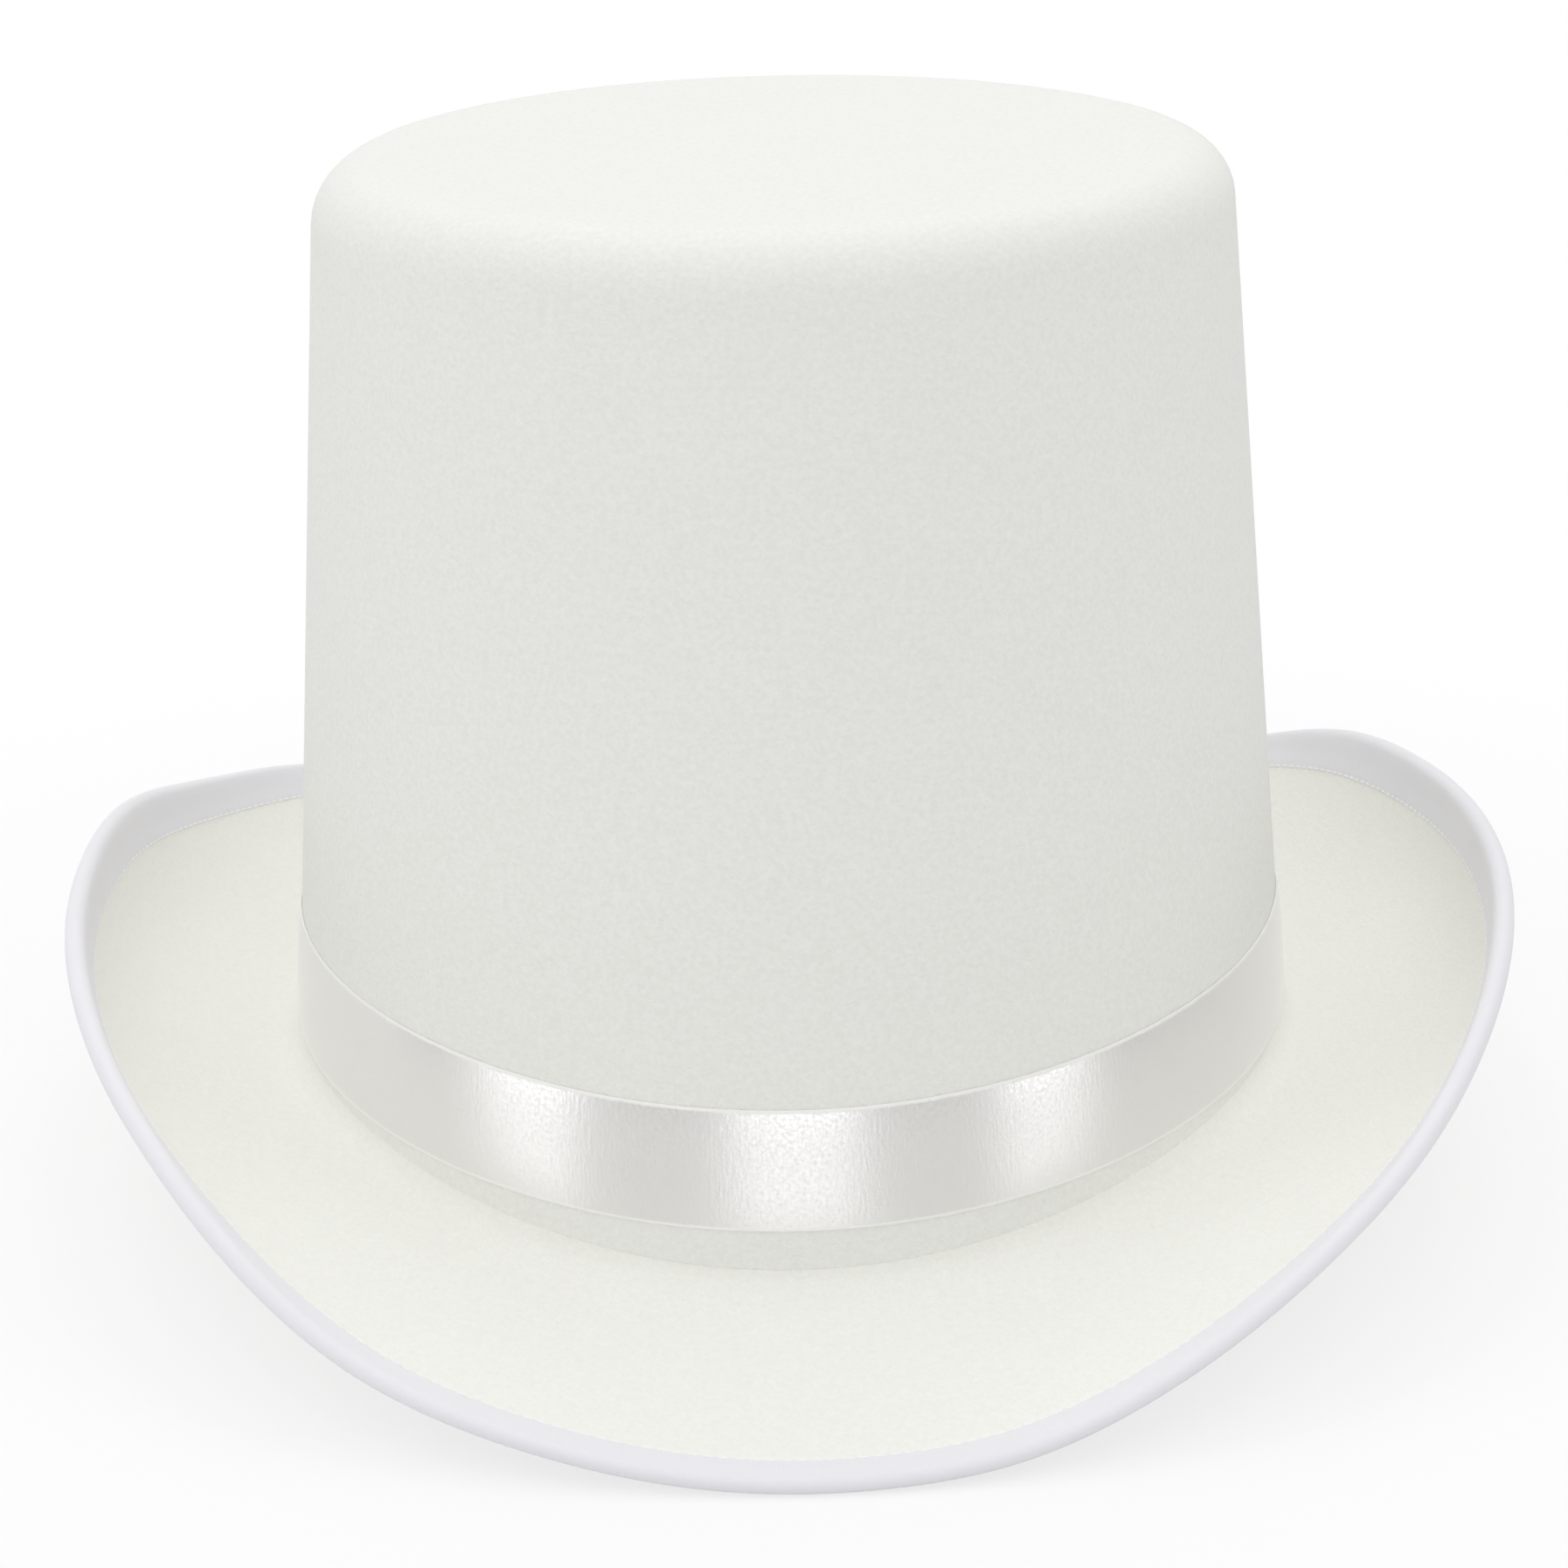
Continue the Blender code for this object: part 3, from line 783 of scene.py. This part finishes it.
over = lapped * (TAPE + LAP_CLEARANCE)
rows = []
for run, off, lift in upper + fold + lower:
    reach = np.maximum(run - BRIM_WIDTH, 0.0) / (2 * round_of)
    above = off - half + lift * pucker + np.sign(off) * over * (1 - reach)
    rows.append(brim_point(run + reach * over, above, tape_angles))
binding_grid = np.stack(rows, axis=1)
binding = new_object("edge_binding", skin("edge_binding", binding_grid, closed=False))
add_wall(binding, TAPE, -1)
plain(binding)
seat(binding, "brim_binding", binding_tape)

# %% [markdown]
# ## The ribbon
# The satin ribbon runs round the crown, climbs a little at the sides and laps over its own start at the
# back. It bows out a little between its edges, because it covers a row of stitches, and its woven edges
# are thicker than the rest. It could be draped as cloth, but a taut ribbon has no folds, so it is a strip
# of points along the wall, bowed by a formula.

# %% Lay the ribbon round the crown
RIBBON_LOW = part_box("hat_band")[0].z - join_z
RIBBON_RISE = 0.0042
RIBBON = 0.2 * MM
RIBBON_LAP = 0.017
RIBBON_LAP_CLIMB = 0.006
RIBBON_LAP_CLEARANCE = 0.1 * MM
RIBBON_STATIONS = 560
RIBBON_BOW = 0.45 * MM
SELVAGE_BEAD = 0.05 * MM
# Rows lie close together at each edge, where the bead is, and evenly between
EDGE_ROWS = np.array([0.0, 0.25, 0.5, 0.8]) * MM
EVEN_FROM = 1.4 * MM
EVEN_ROWS = 16

wall_angles = steps(0.0, 2 * math.pi, ROUND_STEPS)
wall_length = lengths(wall_point(RIBBON_LOW + RIBBON_RISE * roll_share(wall_angles), 0.0, wall_angles))
around = np.linspace(0.0, wall_length[-1] + RIBBON_LAP, RIBBON_STATIONS)
start = np.interp(math.pi, wall_angles, wall_length) - RIBBON_LAP / 2
ribbon_angles = np.interp((start + around) % wall_length[-1], wall_length, wall_angles)
ribbon_low = RIBBON_LOW + RIBBON_RISE * roll_share(ribbon_angles)
lapped = np.clip((around - wall_length[-1] + RIBBON_LAP_CLIMB) / RIBBON_LAP_CLIMB, 0.0, 1.0)
over = lapped * (RIBBON + SELVAGE_BEAD + RIBBON_LAP_CLEARANCE)

even_rows = steps(EVEN_FROM, RIBBON_WIDTH - EVEN_FROM, EVEN_ROWS)
rows = []
for up in np.concatenate([EDGE_ROWS, even_rows, RIBBON_WIDTH - EDGE_ROWS[::-1]]):
    share = 2 * up / RIBBON_WIDTH - 1
    from_edge = min(up, RIBBON_WIDTH - up)
    bead = SELVAGE_BEAD * max(0.0, 1.0 - (from_edge / SELVAGE) ** 2)
    off = RIBBON_BOW * (1 - share ** 4) + bead
    rows.append(wall_point(ribbon_low + up, off + over, ribbon_angles))
ribbon = new_object("satin_ribbon", skin("satin_ribbon", np.stack(rows, axis=1), closed=False))
add_wall(ribbon, RIBBON, 1)
plain(ribbon)
seat(ribbon, "hat_band", ribbon_satin)
print(f"the ribbon lies flat as {RIBBON_WIDTH / MM:.1f} x {(wall_length[-1] + RIBBON_LAP) / MM:.0f} mm")

# %% [markdown]
# ## The sweatband
# Inside, a strip of twill goes round the collar and keeps the felt off the head. Its ends butt at the
# back, and its upper edge stands a little away from the wall where no stitch holds it. Two slow waves
# make that edge uneven, which is all that a simulation would add to so narrow a strip.

# %% Line the collar with the sweatband
SWEATBAND_WIDTH = 0.030
SWEATBAND = 0.8 * MM
SWEATBAND_FACE = COLLAR_SETBACK + FELT + 0.3 * MM
SWEATBAND_LOW = 0.5 * MM
SWEATBAND_STATIONS = 420
SWEATBAND_ROWS = 20
BUTT_GAP = 0.6 * MM

half_gap = BUTT_GAP / 2 / FOOT_HALF_WIDTH
angles = steps(math.pi + half_gap, 3 * math.pi - half_gap, SWEATBAND_STATIONS)
low = JOIN_RISE * roll_share(angles) + SWEATBAND_LOW
waves = 0.5 + 0.25 * np.sin(9 * angles) + 0.2 * np.sin(14 * angles + 1.0)
rows = []
for up in steps(0.0, SWEATBAND_WIDTH, SWEATBAND_ROWS):
    share = up / SWEATBAND_WIDTH
    away = share ** 2 * waves * MM
    rows.append(wall_point(low + up, -SWEATBAND_FACE - away, angles))
sweatband = new_object("twill_sweatband", skin("twill_sweatband", np.stack(rows, axis=1), closed=False))
add_wall(sweatband, SWEATBAND, -1)
plain(sweatband)
seat(sweatband, "sweatband", sweat_twill)

# %% [markdown]
# ## Wire and stitches
# A wire in the tape's fold holds the roll of the brim, and a short sleeve joins its ends at the back.
# What repeats or follows a line is made by Geometry Nodes from a guide: a line of points with the
# direction that faces out of the cloth kept on each one. For the wire, a circle is swept along the guide.
# A curve with a bevel would do as well, but one tree with a named diameter serves wire and sleeve alike.

# %% The tree for wires
WIRE_SIDES = 10


def guide(name, points, upward, closed=True):
    """A line or loop of points as edges, with the direction out of the cloth on each point."""
    count = len(points)
    edges = [(i, (i + 1) % count) for i in range(count if closed else count - 1)]
    mesh = bpy.data.meshes.new(name)
    mesh.from_pydata(points, edges, [])
    facing = mesh.attributes.new("seam_up", "FLOAT_VECTOR", "POINT")
    facing.data.foreach_set("vector", upward.ravel())
    return new_object(name, mesh)


def tree_with(name, sizes):
    """A node group that takes geometry, named sizes and a material."""
    tree = bpy.data.node_groups.new(name, "GeometryNodeTree")
    tree.interface.new_socket("Geometry", in_out="OUTPUT", socket_type="NodeSocketGeometry")
    tree.interface.new_socket("Geometry", in_out="INPUT", socket_type="NodeSocketGeometry")
    for size in sizes:
        tree.interface.new_socket(size, in_out="INPUT", socket_type="NodeSocketFloat")
    tree.interface.new_socket("Material", in_out="INPUT", socket_type="NodeSocketMaterial")
    return tree, node(tree, "NodeGroupInput").outputs


def close_tree(tree, geometry, finish):
    """Ends a tree: its instances are made real and get their material."""
    whole = node(tree, "GeometryNodeRealizeInstances", {"Geometry": geometry})
    dressed = node(tree, "GeometryNodeSetMaterial", {"Geometry": whole, "Material": finish})
    node(tree, "NodeGroupOutput", {"Geometry": dressed})
    return tree


def wire_tree():
    """A round rod along a guide."""
    tree, given = tree_with("swept_wire", ["Diameter"])
    line = node(tree, "GeometryNodeMeshToCurve", {"Mesh": given["Geometry"]})
    radius = node(tree, "ShaderNodeMath", {0: given["Diameter"], 1: 2.0}, operation="DIVIDE")
    ring = node(tree, "GeometryNodeCurvePrimitiveCircle", {"Resolution": WIRE_SIDES, "Radius": radius})
    rod = node(tree, "GeometryNodeCurveToMesh", {
        "Curve": line, "Profile Curve": ring, "Fill Caps": True})
    return close_tree(tree, rod, given["Material"])


wire_nodes = wire_tree()
print(f"the wire's tree has {len(wire_nodes.nodes)} nodes")

# %% The wire and its sleeve
WIRE_DIAMETER = 0.001
WIRE_END_GAP = 0.001
WIRE_STEPS = 360
SLEEVE_LENGTH = 0.010
SLEEVE_DIAMETER = 0.002
SLEEVE_STEPS = 12

edge_length = lengths(brim_point(wire_run(rim_angles), -half, rim_angles))
middle_back = np.interp(math.pi, rim_angles, edge_length)


def edge_line(first, last, count):
    """Points along the fold of the tape, by distance from the middle of the back."""
    where = (middle_back + steps(first, last, count)) % edge_length[-1]
    line_angles = np.interp(where, edge_length, rim_angles)
    run = wire_run(line_angles)
    return brim_point(run, -half, line_angles), brim_normal(run, line_angles)


wire_line = edge_line(WIRE_END_GAP / 2, edge_length[-1] - WIRE_END_GAP / 2, WIRE_STEPS)
wire = guide("edge_wire", *wire_line, closed=False)
run_tree(wire, wire_nodes, {"Diameter": WIRE_DIAMETER, "Material": spring_steel})
seat(plain(wire), "brim_wire")
sleeve_line = edge_line(-SLEEVE_LENGTH / 2, SLEEVE_LENGTH / 2, SLEEVE_STEPS)
sleeve = guide("wire_sleeve_tube", *sleeve_line, closed=False)
run_tree(sleeve, wire_nodes, {"Diameter": SLEEVE_DIAMETER, "Material": sleeve_brass})
seat(plain(sleeve), "wire_sleeve")

# %% [markdown]
# A lockstitched seam shows as a row of short dashes, each one thread that comes up out of the cloth and
# goes down again. So the guide of a seam is cut into equal lengths, and one bowed stitch is set on each,
# turned along the seam and up out of the cloth, so that both ends dip into it. A dashed texture would be
# lighter, but it would lie flat and cast no shadow.

# %% The tree for stitches
THREAD_SIDES = 6
BOW_STEPS = 6


def stitch_tree():
    """A row of stitches along a guide."""
    tree, given = tree_with("row_of_stitches", ["Pitch", "Stitch Length", "Bow", "Thread Diameter"])
    line = node(tree, "GeometryNodeMeshToCurve", {"Mesh": given["Geometry"]})
    places = node(tree, "GeometryNodeResampleCurve", {
        "Curve": line, "Length": given["Pitch"]}, mode="LENGTH")
    half = node(tree, "ShaderNodeMath", {0: given["Stitch Length"], 1: 2.0}, operation="DIVIDE")
    dip = node(tree, "ShaderNodeMath", {0: given["Bow"], 1: -1.0}, operation="MULTIPLY")
    back = node(tree, "ShaderNodeMath", {0: half, 1: -1.0}, operation="MULTIPLY")
    first = node(tree, "ShaderNodeCombineXYZ", {"X": back, "Z": dip})
    crest = node(tree, "ShaderNodeCombineXYZ", {"Z": given["Bow"]})
    last = node(tree, "ShaderNodeCombineXYZ", {"X": half, "Z": dip})
    bow = node(tree, "GeometryNodeCurveQuadraticBezier", {
        "Resolution": BOW_STEPS, "Start": first, "Middle": crest, "End": last})
    radius = node(tree, "ShaderNodeMath", {0: given["Thread Diameter"], 1: 2.0}, operation="DIVIDE")
    ring = node(tree, "GeometryNodeCurvePrimitiveCircle", {
        "Resolution": THREAD_SIDES, "Radius": radius})
    stitch = node(tree, "GeometryNodeCurveToMesh", {
        "Curve": bow, "Profile Curve": ring, "Fill Caps": True})
    tangent = node(tree, "GeometryNodeInputTangent")
    out_of_cloth = node(
        tree, "GeometryNodeInputNamedAttribute", {"Name": "seam_up"}, data_type="FLOAT_VECTOR")
    turn = node(tree, "FunctionNodeAlignRotationToVector", {"Vector": tangent}, axis="X")
    turn = node(tree, "FunctionNodeAlignRotationToVector", {
        "Rotation": turn, "Vector": out_of_cloth}, axis="Z", pivot_axis="X")
    row = node(tree, "GeometryNodeInstanceOnPoints", {
        "Points": places, "Instance": stitch, "Rotation": turn})
    return close_tree(tree, row, given["Material"])


stitch_nodes = stitch_tree()
print(f"the stitches' tree has {len(stitch_nodes.nodes)} nodes")

# %% The four rows of stitches
THREAD = 0.55 * MM
STITCH_BOW = 0.2 * MM
STITCH_GAP = 0.5 * MM
STITCH_SUNK = 0.24 * MM
SEAM_ABOVE_JOIN = 0.009
SEAM_PITCH = 3.0 * MM
SEAM_STEPS = 900

seam_angles = np.arange(SEAM_STEPS) * 2 * math.pi / SEAM_STEPS
seam_rise = JOIN_RISE * roll_share(seam_angles) + SEAM_ABOVE_JOIN
seam_out = wall_oval(seam_rise, seam_angles)[1]
seam_run = stitch_run(seam_angles)
face_up = brim_normal(seam_run, seam_angles)
tape_face = TAPE - STITCH_SUNK
upper_line = brim_point(seam_run, tape_face, seam_angles)
lower_line = brim_point(seam_run, -FELT - tape_face, seam_angles)
inner_line = wall_point(seam_rise, -SWEATBAND_FACE - SWEATBAND, seam_angles)
outer_line = wall_point(seam_rise, 0.0, seam_angles)


def sew(name, plain_node, pitch, line, upward):
    """One row of stitches along a line, seated in place of a thread of the plain model."""
    row = guide(name, line, upward)
    run_tree(row, stitch_nodes, {
        "Pitch": pitch, "Stitch Length": pitch - STITCH_GAP, "Bow": STITCH_BOW,
        "Thread Diameter": THREAD, "Material": thread})
    seat(plain(row), plain_node)


sew("upper_binding_stitches", "binding_needle_thread", STITCH_PITCH, upper_line, face_up)
sew("lower_binding_stitches", "binding_bobbin_thread", STITCH_PITCH, lower_line, -face_up)
sew("inner_sweatband_stitches", "sweatband_needle_thread", SEAM_PITCH, inner_line, -seam_out)
sew("outer_sweatband_stitches", "sweatband_bobbin_thread", SEAM_PITCH, outer_line, seam_out)

# %% [markdown]
# ## The studio
# The floor is a sheet of white paper that takes a soft shadow, inside a white tent that gives even light.
# The background could be made white with stronger lamps, but they would burn out a white hat. So the
# world and the far floor are only seen as white: the Light Path node tells what the camera sees from
# light that spreads, and the hat gets no more light from it.

# %% The floor
FLOOR_HALF = 4.0
FLOOR_GLOW = 0.75
WHITE_FROM = 0.16
WHITE_TO = 0.36


def flat_card(name, half_width, half_length):
    """A flat rectangle round the origin."""
    corners = [(-1, -1), (1, -1), (1, 1), (-1, 1)]
    mesh = bpy.data.meshes.new(name)
    mesh.from_pydata([(x * half_width, y * half_length, 0.0) for x, y in corners], [], [(0, 1, 2, 3)])
    return mesh


def seen_directly(tree):
    """1 for what the camera sees, also in a reflection or through glass, and 0 for spread light."""
    path = node(tree, "ShaderNodeLightPath").outputs
    seen = path["Is Camera Ray"]
    for ray in ("Is Glossy Ray", "Is Transmission Ray"):
        seen = node(tree, "ShaderNodeMath", {0: seen, 1: path[ray]}, operation="MAXIMUM")
    return seen


floor_mesh = flat_card("floor", FLOOR_HALF, FLOOR_HALF)
floor = new_object("floor", floor_mesh)
floor_paper = bpy.data.materials.new("white_paper")
floor_paper.use_nodes = True
tree = floor_paper.node_tree
tree.nodes.clear()
place = node(tree, "ShaderNodeTexCoord").outputs["Object"]
away = node(tree, "ShaderNodeVectorMath", {0: place}, operation="LENGTH").outputs["Value"]
whiter = node(tree, "ShaderNodeMapRange", {
    "Value": away, "From Min": WHITE_FROM, "From Max": WHITE_TO, "To Min": FLOOR_GLOW, "To Max": 1.0},
    interpolation_type="SMOOTHSTEP")
paper = node(tree, "ShaderNodeBsdfDiffuse", {"Color": colour("#f2f2f2")})
glow = node(tree, "ShaderNodeEmission", {"Strength": 1.0})
lifted = node(tree, "ShaderNodeMixShader", {0: whiter, 1: paper, 2: glow})
shown = node(tree, "ShaderNodeMixShader", {0: seen_directly(tree), 1: paper, 2: lifted})
node(tree, "ShaderNodeOutputMaterial", {"Surface": shown})
floor_mesh.materials.append(floor_paper)
print(f"the floor turns white from {WHITE_FROM} to {WHITE_TO} m away from the middle of the hat")

# %% The tent
TENT_LIGHT = 0.41

world = bpy.data.worlds.new("white_tent")
bpy.context.scene.world = world
world.use_nodes = True
tree = world.node_tree
tree.nodes.clear()
tent = node(tree, "ShaderNodeBackground", {"Color": (1.0, 1.0, 1.0, 1.0), "Strength": TENT_LIGHT})
white = node(tree, "ShaderNodeBackground", {"Color": (1.0, 1.0, 1.0, 1.0), "Strength": 1.0})
shown = node(tree, "ShaderNodeMixShader", {0: seen_directly(tree), 1: tent, 2: white})
node(tree, "ShaderNodeOutputWorld", {"Surface": shown})
print("the tent gives light of strength", TENT_LIGHT, "and is seen as white")

# %% [markdown]
# Felt and satin ask for different lamps. Wide softboxes, high and low all round, light the felt so evenly
# that the hat has only soft shade. Three upright panels are there for the satin alone: their images are
# the three bright blocks on the ribbon. Black cards stand beside the panels, as in a real studio, so that
# the ribbon stays dark between the blocks. One lamp for both could not be set right for either.

# %% Lamps and cards
AIM = Vector((0.0, 0.0, 0.09))
SOFTBOX_DISTANCE = 4.0
SOFTBOX_SIZE = 2.9
PANEL_DISTANCE = 1.3
PANEL_HEIGHT = 0.75
PANEL_ELEVATION = 12.0
CARD_DISTANCE = 1.0
CARD_HALF_HEIGHT = 0.6
CARD_ELEVATION = 25.0


def stand_up(thing, bearing, elevation, distance):
    """Stands a thing so that it looks at the hat; bearing 0 is in front, and it turns to the right."""
    turn = math.radians(bearing)
    tilt = math.radians(elevation)
    away = Vector((math.sin(turn) * math.cos(tilt), -math.cos(turn) * math.cos(tilt), math.sin(tilt)))
    thing.location = AIM + away * distance
    thing.rotation_euler = away.to_track_quat("Z", "Y").to_euler()


def lamp(name, bearing, elevation, distance, width, height, power):
    """A flat lamp of a given size, aimed at the hat."""
    light = bpy.data.lights.new(name, "AREA")
    light.shape = "RECTANGLE"
    light.size = width
    light.size_y = height
    light.energy = power
    made = new_object(name, light)
    stand_up(made, bearing, elevation, distance)
    return made


def softbox(name, bearing, elevation, power):
    """A wide, far lamp that lights the cloth evenly from tip to brim, and does not show in the satin."""
    made = lamp(name, bearing, elevation, SOFTBOX_DISTANCE, SOFTBOX_SIZE, SOFTBOX_SIZE, power)
    made.visible_glossy = False


def panel(name, bearing, half_angle, power):
    """A tall panel near the hat, as wide as it looks from there, which only the satin reflects."""
    width = 2 * PANEL_DISTANCE * math.tan(math.radians(half_angle))
    made = lamp(name, bearing, PANEL_ELEVATION, PANEL_DISTANCE, width, PANEL_HEIGHT, power)
    made.data.color = colour("#f6f7ff")[:3]
    made.visible_diffuse = False


def card(name, bearing, half_angle):
    """A tall black card in front of the hat, which only reflections show."""
    mesh = flat_card(name, CARD_DISTANCE * math.tan(math.radians(half_angle)), CARD_HALF_HEIGHT)
    mesh.materials.append(black_card)
    made = new_object(name, mesh)
    stand_up(made, bearing, CARD_ELEVATION, CARD_DISTANCE)
    made.visible_camera = False
    made.visible_diffuse = False
    made.visible_shadow = False


black_card, _, card_shader = new_finish("black_card")
fill(card_shader, {"Base Color": colour("#202020"), "Roughness": 0.9})
print("metres away: softboxes", SOFTBOX_DISTANCE, "panels", PANEL_DISTANCE, "cards", CARD_DISTANCE)

# %% Set up the studio
softbox("front_softbox", 0.0, 55.0, 29.0)
softbox("back_softbox", 180.0, 60.0, 40.0)
softbox("left_softbox", -90.0, 60.0, 27.0)
softbox("right_softbox", 90.0, 60.0, 25.5)
softbox("low_front_softbox", 0.0, 8.0, 4.0)
softbox("low_left_softbox", -65.0, 20.0, 21.0)
softbox("low_right_softbox", 65.0, 20.0, 13.0)
panel("front_panel", 0.5, 14.4, 3.6)
panel("left_panel", -63.5, 11.4, 2.9)
panel("right_panel", 60.0, 10.6, 2.6)
card("far_left_card", -91.0, 9.0)
card("left_card", -33.5, 17.5)
card("right_card", 32.3, 16.5)
card("far_right_card", 98.3, 24.7)

# %% [markdown]
# ## The camera
# The hat is seen from the front and a little above, through a long lens close to. The picture is turned
# slightly, which lifts the right side of the hat. The camera could track an empty, but here its turn is
# worked out once from where it stands and what it looks at, so nothing else has to stay in the scene.

# %% Camera and view
CAMERA_HEIGHT_ANGLE = math.radians(16.0)
CAMERA_DISTANCE = 0.7
CAMERA_LENS = 91.26
CAMERA_SENSOR = 36.0
CAMERA_ROLL = math.radians(1.31)
ORBIT_ABOVE_JOIN = 0.07
LOOK_ABOVE_JOIN = 0.0465
LOOK_LEFT = 0.0004

camera = new_object("camera", bpy.data.cameras.new("camera"))
camera.data.lens = CAMERA_LENS
camera.data.sensor_width = CAMERA_SENSOR
stand = Vector((0.0, -math.cos(CAMERA_HEIGHT_ANGLE), math.sin(CAMERA_HEIGHT_ANGLE))) * CAMERA_DISTANCE
camera.location = Vector((0.0, 0.0, join_z + ORBIT_ABOVE_JOIN)) + stand
look = Vector((-LOOK_LEFT, 0.0, join_z + LOOK_ABOVE_JOIN)) - camera.location
level = look.to_track_quat("-Z", "Y")
camera.rotation_euler = (level.to_matrix() @ Euler((0.0, 0.0, -CAMERA_ROLL)).to_matrix()).to_euler()
bpy.context.scene.camera = camera
bpy.context.scene.view_settings.view_transform = "Standard"
print("camera at", [round(x, 3) for x in camera.location])
